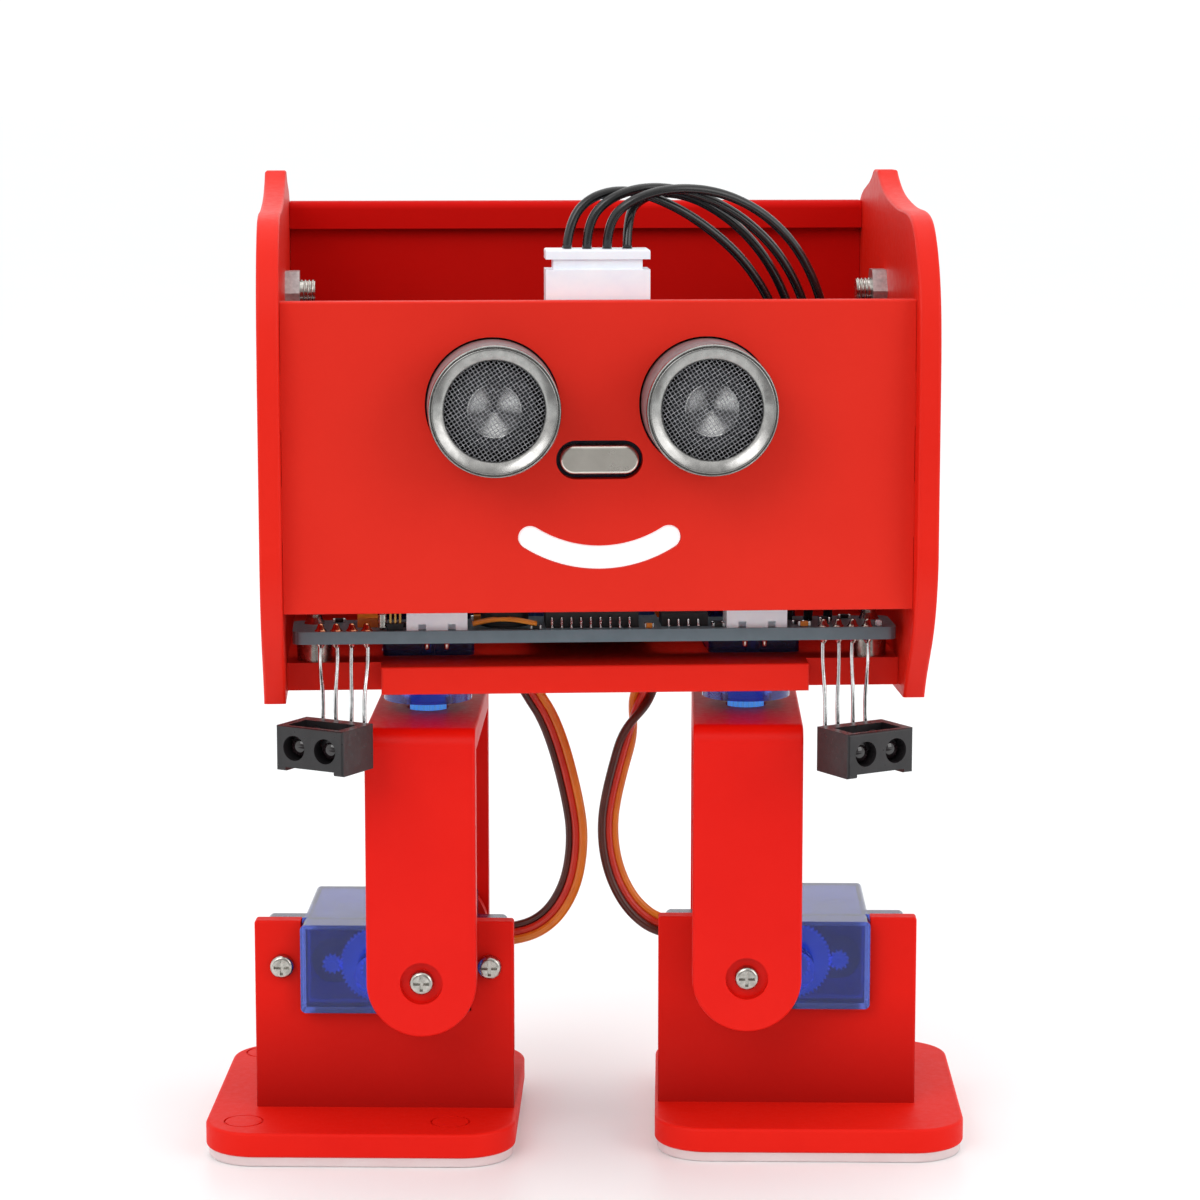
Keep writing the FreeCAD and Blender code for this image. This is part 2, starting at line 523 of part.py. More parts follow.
# bottom plate: a middle part that steps forward, servo slots, lead holes
pl = box(-IN_X + 0.05, IN_X - 0.05, -15.8, BK_Y1, PLATE_Z0, PLATE_Z1)
pl = pl.fuse(box(-27.6, 27.6, -20.0, -15.0, PLATE_Z0, PLATE_Z1))
for s in (-1, 1):
    for a, b in TABS_P:
        pl = pl.fuse(box(s * (IN_X - 1), s * (OUT_X - 0.05), a, b, PLATE_Z0, PLATE_Z1))
pl = pl.removeSplitter()
pl = safe_fillet(pl, 0.3, lambda e: at_y(e, -20.0))
for s in (-1, 1):
    pl = pl.cut(box(s * (HIP_X - S_HALF - 0.1), s * (HIP_X + S_HALF + 0.1),
                    -S_NEAR - 0.1, S_FAR + 0.1, PLATE_Z0 - 1, PLATE_Z1 + 1))
    pl = pl.cut(box(s * 8.2, s * 13.6, 7.4, 13.6, PLATE_Z0 - 1, PLATE_Z1 + 1))
    for sg in (-1, 1):
        y = HOLE_MID + sg * HOLE_HALF
        pl = pl.cut(cyl(0.95, (s * HIP_X, y, PLATE_Z0 + 0.6), (s * HIP_X, y, PLATE_Z1 + 1)))
    for x, y in ((36.2, -12.9),):
        pl = pl.cut(cyl(1.0, (s * x, y, PLATE_Z1 - 1.6), (s * x, y, PLATE_Z1 + 1)))
pl = pl.cut(cyl(1.0, (0, 22.0, PLATE_Z1 - 1.6), (0, 22.0, PLATE_Z1 + 1)))
out("bottom_plate", pl)

# hip servo innards and flange screws
out("hip_motors", group([place(MOTOR, (s * HIP_X, 0, HIP_FACE), (0, 1, 0), (0, 0, -1)) for s in (-1, 1)]))
hs = []
for s in (-1, 1):
    for sg in (-1, 1):
        y = HOLE_MID + sg * HOLE_HALF
        hs.append(place(pan_screw(5.2), (s * HIP_X, y, HIP_FACE + FL_B), (1, 0, 0), (0, 0, 1)))
out("hip_flange_screws", group(hs))

# panel screws (countersunk) and their nuts
ps, pn = [], []
for s in (-1, 1):
    for y, z in SCREWS:
        sc = cone(1.45, 2.8, (s * (OUT_X - 1.4), y, z), (s * (OUT_X - 0.05), y, z))
        sc = sc.fuse(cyl(1.45, (s * 35.9, y, z), (s * (OUT_X - 1.3), y, z)))
        for a, b in ((1.2, 0.25), (0.25, 1.2)):
            sc = sc.cut(box(s * (OUT_X - 0.8), s * (OUT_X + 1), y - a, y + a, z - b, z + b))
        ps.append(sc.removeSplitter())
        hexp = [V(s * (IN_X - 1.9), y + 3.17 * math.cos(k * math.pi / 3), z + 3.17 * math.sin(k * math.pi / 3))
                for k in range(7)]
        n = Part.Face(Part.makePolygon(hexp)).extrude(V(s * 1.9, 0, 0))
        n = n.cut(cyl(1.5, (s * 30, y, z), (s * 45, y, z)))
        pn.append(n)
out("panel_screws", group(ps))
out("panel_nuts", group(pn))

# ----------------------------------------------------------- distance sensor
sb = rounded_plate(-22.5, 22.5, 0, 20, 0, SB_Y1 - SB_Y0, 1.0)
sb = place(sb, (0, SB_Y1, EYE_Z - 10), (1, 0, 0), (0, -1, 0))
for sx in (-1, 1):
    for sz in (-1, 1):
        sb = sb.cut(cyl(0.8, (sx * 21.0, SB_Y0 - 1, EYE_Z + sz * 8.4), (sx * 21.0, SB_Y1 + 1, EYE_Z + sz * 8.4)))
out("sensor_board", sb)
cans, meshes, cones = [], [], []
for s in (-1, 1):
    def yc(y):
        return (s * EYE_X, y, EYE_Z)
    c = cyl(EYE_R, yc(SB_Y0), yc(EYE_FRONT))
    c = safe_fillet(c, 0.5, lambda e: at_y(e, EYE_FRONT))
    c = c.cut(cyl(7.5, yc(SB_Y0 - 1.0), yc(EYE_FRONT + 0.75)))
    c = c.cut(cyl(6.3, yc(SB_Y0 - 2), yc(EYE_FRONT - 1)))
    cans.append(c)
    meshes.append(cyl(7.4, yc(EYE_FRONT + 0.85), yc(EYE_FRONT + 1.2)))
    k = cyl(4.2, yc(SB_Y0 - 1.0), yc(-31.0))
    k = k.fuse(cone(1.2, 3.35, yc(-31.0), yc(EYE_FRONT + 1.35)))
    cones.append(k.removeSplitter())
out("transducer_cans", group(cans))
out("transducer_meshes", group(meshes))
out("transducer_cones", group(cones))
cr = stadium(0, 94.1, 9.9, 3.6, -28.3, SB_Y0)
cr = safe_fillet(cr, 0.45, lambda e: at_y(e, -28.3))
out("crystal_can", cr)

pg = box(-6.55, 6.55, -25.0, -19.4, 111.6, 117.7)
pg = pg.fuse(box(-5.6, 5.6, -24.6, -19.8, 117.6, 119.1))
pg = pg.fuse(box(-6.55, 6.55, -25.0, -19.4, 119.0, 120.2))
pg = safe_fillet(pg.removeSplitter(), 0.25, lambda e: at_z(e, 120.2))
out("sensor_plug", pg)

# four sensor wires: up out of the plug, over to the side and down to the board
SW0 = [
    [(-3.81, -22.2, 120.2), (-3.4, -22.1, 123.6), (-0.9, -21.7, 126.7), (3.9, -20.9, 127.7),
     (9.8, -19.8, 125.6), (15.4, -18.3, 121.9), (20.0, -16.7, 117.4), (23.5, -15.3, 111.6),
     (24.9, -14.2, 103.6), (24.6, -13.4, 93.6), (23.4, -12.9, 82.6), (22.98, -12.6, 71.35)],
    [(-1.27, -22.2, 120.2), (-1.2, -22.5, 123.4), (1.4, -22.7, 126.6), (6.6, -21.8, 128.1),
     (13.2, -20.0, 127.0), (19.4, -18.2, 123.6), (24.6, -16.7, 118.2), (27.8, -15.6, 111.0),
     (29.2, -14.8, 100.0), (29.0, -14.3, 86.0), (28.06, -13.9, 71.35)],
    [(1.27, -22.2, 120.2), (1.35, -23.0, 123.4), (3.8, -23.9, 126.2), (9.2, -23.2, 127.9),
     (15.8, -21.4, 127.3), (21.8, -19.3, 124.3), (26.6, -17.6, 119.2), (29.7, -16.2, 112.0),
     (31.2, -15.2, 100.6), (31.2, -14.8, 86.4), (30.6, -14.4, 71.35)],
    [(3.81, -22.2, 120.2), (3.9, -21.5, 123.1), (4.9, -19.1, 125.9), (8.8, -17.0, 127.3),
     (14.0, -16.4, 125.9), (19.4, -15.8, 122.0), (23.6, -15.0, 116.4), (26.4, -14.4, 109.0),
     (27.3, -13.9, 98.6), (26.6, -13.5, 85.4), (25.52, -13.2, 71.35)],
]
for i, pts in enumerate(SW0):
    out("sensor_wire_%d" % (i + 1), tube("sensor_wire_%d" % (i + 1), pts, WIRE_D))

# ------------------------------------------------------------------ electronics
mb = rounded_plate(-38.9, 38.9, PCB_FRONT, PCB_BACK, PCB_Z0, PCB_Z1, 1.2)
mb = mb.fuse(box(-8.6, 8.6, PCB_BACK - 1.5, 25.0, PCB_Z0, PCB_Z1)).removeSplitter()
IR = {
    "left": dict(c=(-34.9, -22.8), b=(0.545, 0.839), z0=54.0, holes=(-35.3, -33.3, -31.3, -29.4)),
    "right": dict(c=(34.6, -22.8), b=(-0.47, 0.883), z0=52.9, holes=(35.2, 33.3, 31.4, 29.5)),
}
for side in ("left", "right"):
    for x in IR[side]["holes"]:
        mb = mb.cut(cyl(0.4, (x, -19.4, PCB_Z0 - 1), (x, -19.4, PCB_Z1 + 1)))
for x, y in ((-36.2, -12.9), (36.2, -12.9), (0, 22.0)):
    mb = mb.cut(cyl(1.05, (x, y, PCB_Z0 - 1), (x, y, PCB_Z1 + 1)))
out("main_board", mb)

st = []
for x, y in ((-36.2, -12.9), (36.2, -12.9), (0, 22.0)):
    k = cyl(2.3, (x, y, PLATE_Z1), (x, y, PCB_Z0))
    k = k.fuse(cyl(0.95, (x, y, PLATE_Z1 - 1.4), (x, y, PCB_Z1 + 1.2)))
    k = k.fuse(cone(1.35, 0.6, (x, y, PCB_Z1), (x, y, PCB_Z1 + 1.6)))
    st.append(k.removeSplitter())
out("board_standoffs", group(st))

so = []
for cx in (-20.4, 20.8):
    k = box(cx - 3.9, cx + 3.9, -19.9, -14.3, PCB_Z1, 78.4)
    k = k.cut(box(cx - 3.1, cx + 3.1, -19.1, -15.1, PCB_Z1 + 1.6, 80))
    for dx in (-1.9, 1.9):
        k = k.cut(box(cx + dx - 0.5, cx + dx + 0.5, -20.5, -18.9, PCB_Z1 - 1, PCB_Z1 + 0.8))
    for dx in (-1.27, 1.27):
        k = k.fuse(box(cx + dx - 0.32, cx + dx + 0.32, -17.42, -16.78, PCB_Z1 + 1.0, 77.0))
    so.append(k.removeSplitter())
out("board_sockets", group(so))

ch = [box(-6.4, 5.6, -18.6, -13.2, PCB_Z1, PCB_Z1 + 2.4),
      cyl(3.1, (-11.6, -15.4, PCB_Z1), (-11.6, -15.4, PCB_Z1 + 5.4)),
      box(8.6, 14.6, -18.2, -13.6, PCB_Z1, PCB_Z1 + 1.7),
      box(-30.6, -27.2, -17.0, -13.0, PCB_Z1, PCB_Z1 + 1.2)]
out("board_chips", group(ch))

cb = rounded_plate(-8.4, 8.4, -8.6, 19.2, PCB_Z1, PCB_Z1 + 1.2, 0.6)
cb = cb.fuse(box(-3.6, 3.6, 3.0, 10.2, PCB_Z1 + 1.1, PCB_Z1 + 2.2))
cb = cb.fuse(box(-3.9, 3.9, 13.4, 19.6, PCB_Z1 + 1.1, PCB_Z1 + 4.0))
out("controller_board", cb.removeSplitter())

# infrared floor sensors: two wells in the front face, recess on top, small feet
IR_W, IR_D, IR_H = 10.2, 7.0, 5.8
for side in ("left", "right"):
    q = IR[side]
    k = box(-IR_W / 2, IR_W / 2, -IR_D / 2, IR_D / 2, 0, IR_H)
    k = safe_fillet(k, 0.3, lambda e: at_y(e, -IR_D / 2))
    k = k.cut(box(-3.9, 3.9, -IR_D / 2 + 0.9, IR_D / 2 - 1.9, IR_H - 1.7, IR_H + 1))
    k = k.cut(box(-3.7, 3.7, -IR_D, IR_D, -1, 0.5))
    for dx in (-2.35, 2.35):
        k = k.cut(cyl(1.62, (dx, -IR_D, IR_H / 2 + 0.15), (dx, -IR_D / 2 + 4.6, IR_H / 2 + 0.15)))
        k = k.fuse(cyl(1.3, (dx, -IR_D / 2 + 1.9, IR_H / 2 + 0.15), (dx, -IR_D / 2 + 4.8, IR_H / 2 + 0.15)))
    for j in range(4):
        x = -3.3 + 2.2 * j
        k = k.cut(cyl(0.3, (x, IR_D / 2 - 0.9, 2.9), (x, IR_D / 2 + 1, 2.9)))
    b = q["b"]
    t = (b[1], -b[0], 0)
    k = place(k.removeSplitter(), (q["c"][0], q["c"][1], q["z0"]), t, (0, 0, 1))
    out("ir_sensor_" + side, k)

leads = []
for side in ("left", "right"):
    q = IR[side]
    b = q["b"]
    t = (b[1], -b[0])
    c = q["c"]
    holes = sorted(q["holes"])
    for j in range(4):
        k = -3.3 + 2.2 * j
        fx, fy = c[0] + IR_D / 2 * b[0] + k * t[0], c[1] + IR_D / 2 * b[1] + k * t[1]
        z = q["z0"] + 2.9
        p0 = (fx - 0.85 * b[0], fy - 0.85 * b[1], z)
        p1 = (fx + 0.95 * b[0], fy + 0.95 * b[1], z)
        wob = 0.16 * (-1) ** j
        p2 = (p1[0] + wob, p1[1] + 0.12, z + 5.4)
        p3 = (holes[j] - wob, -19.4, PCB_Z0 - 2.2)
        p4 = (holes[j], -19.4, PCB_Z1 + 0.7)
        P = [V(*p) for p in (p0, p1, p2, p3, p4)]
        segs, last = [], P[0]
        for i in range(1, 4):
            a_, b_, c_ = P[i - 1], P[i], P[i + 1]
            u_, w_ = b_ - a_, c_ - b_
            run = min(u_.Length, w_.Length)
            u_.normalize()
            w_.normalize()
            turn = math.acos(max(-1.0, min(1.0, u_.dot(w_))))
            tt = 0.42 * run
            r = tt / math.tan(turn / 2)
            s_, e_ = b_ - u_ * tt, b_ + w_ * tt
            bis = w_ - u_
            bis.normalize()
            mid = b_ + bis * (r / math.cos(turn / 2) - r)
            segs.append(Part.LineSegment(last, s_).toShape())
            segs.append(Part.Arc(s_, mid, e_).toShape())
            last = e_
        segs.append(Part.LineSegment(last, P[-1]).toShape())
        prof = Part.Wire([Part.makeCircle(0.27, P[0], P[1] - P[0])])
        leads.append(Part.Wire(segs).makePipeShell([prof], True, False))
out("ir_leads", group(leads))

# ---------------------------------------------------------------- power
BX, BY0, BY1, BZ0, BZ1 = 26.0, 1.8, BK_Y0, 86.0, 109.8
bh = box(-BX, BX, BY0, BY1, BZ0, BZ1)
CY = (BY0 + 6.7, BY1 - 6.7)
CZ = (BZ0 + 5.9, BZ1 - 5.9)
cells = []
for y in CY:
    for z in CZ:
        bh = bh.cut(cyl(5.4, (-23.4, y, z), (23.4, y, z)))
        up = z > (BZ0 + BZ1) / 2
        bh = bh.cut(box(-23.4, 23.4, y - 4.9, y + 4.9, z, BZ1 + 1) if up else
                    box(-23.4, 23.4, y - 4.9, y + 4.9, BZ0 - 1, z))
        c = cyl(5.25, (-22.2, y, z), (21.4, y, z)).fuse(cyl(1.9, (21.2, y, z), (22.3, y, z)))
        cells.append(c.removeSplitter())
out("battery_holder", bh)
out("battery_cells", group(cells))

sw = box(SW_X - 4.4, SW_X + 4.4, 22.4, BK_Y0, SW_Z - 2.6, SW_Z + 2.6)
sw = sw.cut(box(SW_X - 3.4, SW_X + 3.4, 24.2, BK_Y0 + 1, SW_Z - 1.3, SW_Z + 1.3))
out("switch_body", sw)
SW_REST = SW_X - 1.5
sl = box(SW_REST - 1.7, SW_REST + 1.7, 24.3, 26.2, SW_Z - 1.15, SW_Z + 1.15)
sl = sl.fuse(box(SW_REST - 1.15, SW_REST + 1.15, 26.0, 30.8, SW_Z - 1.05, SW_Z + 1.05))
out("switch_slider", sl.removeSplitter())

print(len(NODES), "nodes")
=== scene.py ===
import math
import bpy
import bmesh
from mathutils import Vector, Matrix


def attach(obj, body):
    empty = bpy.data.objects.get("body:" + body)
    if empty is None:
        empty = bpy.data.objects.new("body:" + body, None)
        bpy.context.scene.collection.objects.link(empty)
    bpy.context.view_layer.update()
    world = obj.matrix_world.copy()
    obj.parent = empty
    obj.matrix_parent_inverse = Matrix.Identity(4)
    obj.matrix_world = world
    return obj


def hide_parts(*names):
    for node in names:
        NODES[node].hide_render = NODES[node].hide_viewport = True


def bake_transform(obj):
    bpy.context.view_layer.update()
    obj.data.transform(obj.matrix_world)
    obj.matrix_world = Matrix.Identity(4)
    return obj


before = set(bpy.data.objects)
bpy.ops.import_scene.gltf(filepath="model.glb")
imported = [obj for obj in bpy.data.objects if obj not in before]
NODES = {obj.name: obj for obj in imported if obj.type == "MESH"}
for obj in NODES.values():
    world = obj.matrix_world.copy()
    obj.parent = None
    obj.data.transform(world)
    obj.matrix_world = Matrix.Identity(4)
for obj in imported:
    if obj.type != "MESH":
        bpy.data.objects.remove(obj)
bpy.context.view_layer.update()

SC = bpy.context.scene
SHIFT_X, SHIFT_Y = -0.125, 3.0          # design frame to model frame, mm
TURN = math.radians(-4.5)                # both legs rest slightly turned about their hips


def P(x, y, z):
    """A point of the design frame (mm) in the model frame (m)."""
    return Vector(((x + SHIFT_X) * 0.001, (y + SHIFT_Y) * 0.001, z * 0.001))


def route(points):
    return [P(*p) for p in points]


# =====================================================================
# camera
# =====================================================================
cam_data = bpy.data.cameras.new("camera")
cam = bpy.data.objects.new("camera", cam_data)
SC.collection.objects.link(cam)
cam.location = (-0.026392, -0.468847, 0.143523)
cam.rotation_euler = Vector((0.05851766, 0.98704298, -0.14940497)).to_track_quat("-Z", "Y").to_euler()
cam_data.lens = 106.98
cam_data.sensor_width = 36.0
cam_data.clip_start = 0.01
cam_data.clip_end = 20.0
SC.camera = cam
SC.view_settings.view_transform = "Standard"
SC.view_settings.look = "None"


# =====================================================================
# materials
# =====================================================================
def sock(node, name, value):
    if name in node.inputs:
        node.inputs[name].default_value = value


def srgb(r, g, b):
    def f(c):
        c = c / 255.0
        return c / 12.92 if c <= 0.04045 else ((c + 0.055) / 1.055) ** 2.4
    return (f(r), f(g), f(b), 1.0)


class Mat:
    """Principled material with object-space noise for colour, roughness and bump."""

    def __init__(self, name):
        self.m = bpy.data.materials.new(name)
        self.m.use_nodes = True
        self.t = self.m.node_tree
        self.n, self.l = self.t.nodes, self.t.links
        self.bsdf = self.n["Principled BSDF"]
        tc = self.n.new("ShaderNodeTexCoord")
        mp = self.n.new("ShaderNodeMapping")
        mp.inputs["Scale"].default_value = (1000.0, 1000.0, 1000.0)   # millimetres
        self.l.new(tc.outputs["Object"], mp.inputs["Vector"])
        self.vec = mp.outputs["Vector"]

    def noise(self, scale, detail=3.0, rough=0.55, vec=None, distortion=0.0):
        k = self.n.new("ShaderNodeTexNoise")
        k.inputs["Scale"].default_value = scale
        k.inputs["Detail"].default_value = detail
        k.inputs["Roughness"].default_value = rough
        k.inputs["Distortion"].default_value = distortion
        self.l.new(vec or self.vec, k.inputs["Vector"])
        return k.outputs["Fac"]

    def voronoi(self, scale, feature="F1"):
        k = self.n.new("ShaderNodeTexVoronoi")
        k.feature = feature
        k.inputs["Scale"].default_value = scale
        self.l.new(self.vec, k.inputs["Vector"])
        return k.outputs["Distance"]

    def stretched(self, sx, sy, sz):
        mp = self.n.new("ShaderNodeMapping")
        mp.inputs["Scale"].default_value = (sx, sy, sz)
        self.l.new(self.vec, mp.inputs["Vector"])
        return mp.outputs["Vector"]

    def remap(self, fac, a, b, lo, hi):
        k = self.n.new("ShaderNodeMapRange")
        k.inputs["From Min"].default_value = a
        k.inputs["From Max"].default_value = b
        k.inputs["To Min"].default_value = lo
        k.inputs["To Max"].default_value = hi
        self.l.new(fac, k.inputs["Value"])
        return k.outputs["Result"]

    def mix(self, fac, c1, c2):
        k = self.n.new("ShaderNodeMix")
        k.data_type = "RGBA"
        if isinstance(c1, tuple):
            k.inputs[6].default_value = c1
        else:
            self.l.new(c1, k.inputs[6])
        if isinstance(c2, tuple):
            k.inputs[7].default_value = c2
        else:
            self.l.new(c2, k.inputs[7])
        if isinstance(fac, float):
            k.inputs[0].default_value = fac
        else:
            self.l.new(fac, k.inputs[0])
        return k.outputs[2]

    def color(self, sock_out):
        self.l.new(sock_out, self.bsdf.inputs["Base Color"])

    def rough(self, fac, a, b, lo, hi):
        self.l.new(self.remap(fac, a, b, lo, hi), self.bsdf.inputs["Roughness"])

    def bump(self, fac, strength, dist_mm, prev=None):
        k = self.n.new("ShaderNodeBump")
        k.inputs["Strength"].default_value = strength
        k.inputs["Distance"].default_value = dist_mm * 0.001
        self.l.new(fac, k.inputs["Height"])
        if prev is not None:
            self.l.new(prev, k.inputs["Normal"])
        self.l.new(k.outputs["Normal"], self.bsdf.inputs["Normal"])
        return k.outputs["Normal"]

    def set(self, **kw):
        for k, v in kw.items():
            sock(self.bsdf, k.replace("_", " "), v)
        return self


def plastic(name, c_lo, c_hi, rough=(0.3, 0.42), grain=3.2, grain_h=0.012, mottled=0.06, coat=0.0,
            coat_rough=0.15, sss=0.0, specular=0.5, transmission=0.0, ior=1.46, emission=None):
    m = Mat(name)
    big = m.noise(mottled, 4.0, 0.6)
    m.color(m.mix(m.remap(big, 0.3, 0.7, 0.0, 1.0), c_lo, c_hi))
    m.rough(m.noise(grain * 0.4, 4.0, 0.6), 0.3, 0.7, rough[0], rough[1])
    m.bump(m.noise(grain, 2.0, 0.5), 0.4, grain_h)
    sock(m.bsdf, "IOR", ior)
    sock(m.bsdf, "Specular IOR Level", specular)
    sock(m.bsdf, "Coat Weight", coat)
    sock(m.bsdf, "Coat Roughness", coat_rough)
    sock(m.bsdf, "Transmission Weight", transmission)
    if sss > 0:
        sock(m.bsdf, "Subsurface Weight", sss)
        sock(m.bsdf, "Subsurface Radius", (1.0, 0.12, 0.08))
        sock(m.bsdf, "Subsurface Scale", 0.0012)
    if emission:
        sock(m.bsdf, "Emission Color", emission[0])
        sock(m.bsdf, "Emission Strength", emission[1])
    return m.m


def metal(name, c_lo, c_hi, rough=(0.22, 0.36), grain=2.0, bump_h=0.004, stretch=None, aniso=0.0):
    m = Mat(name)
    sock(m.bsdf, "Metallic", 1.0)
    v = m.stretched(*stretch) if stretch else None
    f = m.noise(grain, 4.0, 0.6, v)
    m.color(m.mix(m.remap(f, 0.3, 0.7, 0.0, 1.0), c_lo, c_hi))
    m.rough(m.noise(grain * 0.7, 3.0, 0.6, v), 0.3, 0.7, rough[0], rough[1])
    m.bump(f, 0.5, bump_h)
    sock(m.bsdf, "Anisotropic", aniso)
    return m.m


RED_SHELL = plastic("red_shell_plastic", srgb(219, 36, 20), srgb(225, 41, 24), (0.5, 0.62),
                    grain=2.2, grain_h=0.022, mottled=0.03, specular=0.22)
RED_SIDE = plastic("red_side_plastic", srgb(222, 30, 16), srgb(228, 36, 20), (0.36, 0.48),
                   grain=2.6, grain_h=0.01, mottled=0.03, specular=0.2)
# back panel: the same red made darker and duller than the other panels, painted shade for its inner face lying in the
# body's shade
RED_BACK_PAINTED_SHADE = plastic("red_back_painted_shade", srgb(196, 8, 3), srgb(202, 12, 5), (0.6, 0.7),
                   grain=2.4, grain_h=0.01, mottled=0.03, specular=0.08)
RED_LEG = plastic("red_leg_plastic", srgb(221, 17, 6), srgb(227, 23, 9), (0.36, 0.48),
                  grain=2.6, grain_h=0.014, mottled=0.04, specular=0.2)
RED_FOOT = plastic("red_foot_plastic", srgb(219, 22, 10), srgb(225, 28, 14), (0.48, 0.6),
                   grain=3.0, grain_h=0.01, mottled=0.04, specular=0.14)


def bracket_material_painted_shade():
    """The upright brackets' red is darker than the leg's and darkens further towards the foot plate: painted shade."""
    m = Mat("red_bracket_painted_shade")
    xyz = m.n.new("ShaderNodeSeparateXYZ")
    m.l.new(m.vec, xyz.inputs["Vector"])
    lo = m.mix(m.noise(0.04, 3.0), srgb(160, 10, 4), srgb(168, 13, 6))
    hi = m.mix(m.noise(0.04, 3.0), srgb(216, 20, 9), srgb(222, 26, 12))
    # painted shade: darker red low down, lighter red higher up, blended by height
    m.color(m.mix(m.remap(xyz.outputs["Z"], 5.0, 20.0, 0.0, 1.0), lo, hi))
    m.rough(m.noise(1.2, 4.0, 0.6), 0.3, 0.7, 0.5, 0.62)
    m.bump(m.noise(3.0, 2.0, 0.5), 0.4, 0.01)
    sock(m.bsdf, "Specular IOR Level", 0.12)
    return m.m


RED_BRACKET_PAINTED_SHADE = bracket_material_painted_shade()
PAD = plastic("clear_pad_rubber", srgb(250, 226, 226), srgb(254, 238, 238), (0.3, 0.45),
              grain=2.2, grain_h=0.02, mottled=0.12, transmission=0.35, ior=1.42)
WHITE = plastic("white_nylon", srgb(238, 242, 252), srgb(248, 250, 255), (0.34, 0.46),
                grain=2.0, grain_h=0.01, mottled=0.25, sss=0.05)
# painted glow: the white insert is given a faint white emission
SMILE_PAINTED_GLOW = plastic("white_insert_painted_glow", srgb(250, 250, 250), srgb(255, 255, 255), (0.35, 0.5),
                grain=1.6, grain_h=0.008, mottled=0.2, emission=((1.0, 1.0, 1.0, 1.0), 0.25))


def servo_case_material():
    m = Mat("servo_case_clear_blue")
    f = m.noise(0.18, 3.0, 0.6)
    m.color(m.mix(m.remap(f, 0.3, 0.7, 0.0, 1.0), srgb(76, 96, 190), srgb(92, 112, 206)))
    m.rough(m.noise(1.4, 3.0, 0.6), 0.3, 0.7, 0.10, 0.20)
    m.bump(m.noise(1.1, 2.0, 0.5), 0.4, 0.012)
    sock(m.bsdf, "Transmission Weight", 0.9)
    sock(m.bsdf, "IOR", 1.45)
    return m.m


SERVO = servo_case_material()
# painted glow: the gears are given a blue emission
GEAR_PAINTED_GLOW = plastic("gear_nylon_blue_painted_glow", srgb(96, 160, 244), srgb(130, 186, 252), (0.34, 0.5),
               grain=2.4, grain_h=0.01, mottled=0.4, sss=0.1, emission=(srgb(90, 170, 255), 0.4))
MOTOR = metal("motor_can_steel", srgb(128, 130, 140), srgb(176, 178, 188), (0.26, 0.4), 0.8, 0.006)
SCREW = metal("screw_nickel", srgb(160, 157, 150), srgb(206, 202, 195), (0.16, 0.3), 1.6, 0.006)
LEAD_STEEL = metal("lead_wire_tinned", srgb(196, 196, 196), srgb(240, 240, 240), (0.14, 0.3), 1.2, 0.02)
CAN = metal("can_aluminium", srgb(150, 149, 147), srgb(174, 173, 170), (0.2, 0.3), 1.0, 0.003)
CRYSTAL = metal("crystal_can_nickel", srgb(214, 208, 198), srgb(224, 218, 208), (0.26, 0.32), 0.5,
                0.001)
CAN_SIDE = metal("can_side_satin", srgb(120, 120, 122), srgb(150, 150, 152), (0.5, 0.62), 1.0, 0.003)
sock(CAN_SIDE.node_tree.nodes["Principled BSDF"], "Metallic", 0.25)
NUT = metal("nut_nickel", srgb(168, 166, 166), srgb(206, 204, 202), (0.28, 0.44), 1.4, 0.01)
BLACK = plastic("black_plastic", srgb(20, 19, 20), srgb(34, 32, 33), (0.3, 0.46), grain=2.8,
                grain_h=0.014, mottled=0.2)
BLACK_WIRE = plastic("black_wire_pvc", srgb(10, 10, 11), srgb(22, 22, 24), (0.2, 0.34), grain=1.3,
                     grain_h=0.018, mottled=0.3, coat=0.4, coat_rough=0.12)


def board_material(name, base, trace, gold):
    """Solder mask with routed tracks showing through it."""
    m = Mat(name)
    br = m.n.new("ShaderNodeTexBrick")
    br.inputs["Scale"].default_value = 0.42
    br.inputs["Mortar Size"].default_value = 0.045
    br.inputs["Brick Width"].default_value = 0.9
    br.inputs["Row Height"].default_value = 0.32
    m.l.new(m.vec, br.inputs["Vector"])
    br.inputs["Color1"].default_value = base
    br.inputs["Color2"].default_value = tuple(min(1.0, c * 1.18) for c in base[:3]) + (1.0,)
    br.inputs["Mortar"].default_value = trace
    m.color(m.mix(m.remap(m.noise(0.5, 3.0), 0.35, 0.65, 0.0, 0.4), br.outputs["Color"], gold))
    m.rough(m.noise(1.5, 3.0), 0.3, 0.7, 0.3, 0.46)
    m.bump(br.outputs["Fac"], 0.5, 0.03)
    return m.m


BOARD = board_material("main_board_mask", srgb(82, 94, 100), srgb(104, 118, 126), srgb(88, 102, 110))
CONTROL_BOARD = board_material("controller_board_mask", srgb(20, 60, 120), srgb(36, 84, 150), srgb(24, 68, 134))
SENSOR_BOARD = board_material("sensor_board_mask", srgb(14, 30, 66), srgb(26, 48, 92), srgb(18, 36, 76))


def ir_material():
    m = Mat("ir_housing_charcoal")
    f = m.noise(0.25, 4.0, 0.6)
    m.color(m.mix(m.remap(f, 0.35, 0.65, 0.0, 1.0), srgb(26, 24, 26), srgb(38, 35, 37)))
    m.rough(m.noise(1.6, 4.0, 0.6), 0.3, 0.7, 0.26, 0.42)
    m.bump(m.noise(3.2, 2.0), 0.5, 0.014)
    return m.m


IR = ir_material()


def glass_dome():
    m = Mat("ir_lens_dark")
    m.color(m.mix(m.noise(0.8, 2.0), srgb(6, 6, 8), srgb(30, 14, 18)))
    m.rough(m.noise(1.5, 2.0), 0.3, 0.7, 0.03, 0.08)
    m.bump(m.noise(0.6, 1.0), 0.2, 0.004)
    sock(m.bsdf, "Coat Weight", 0.6)
    return m.m


LENS = glass_dome()


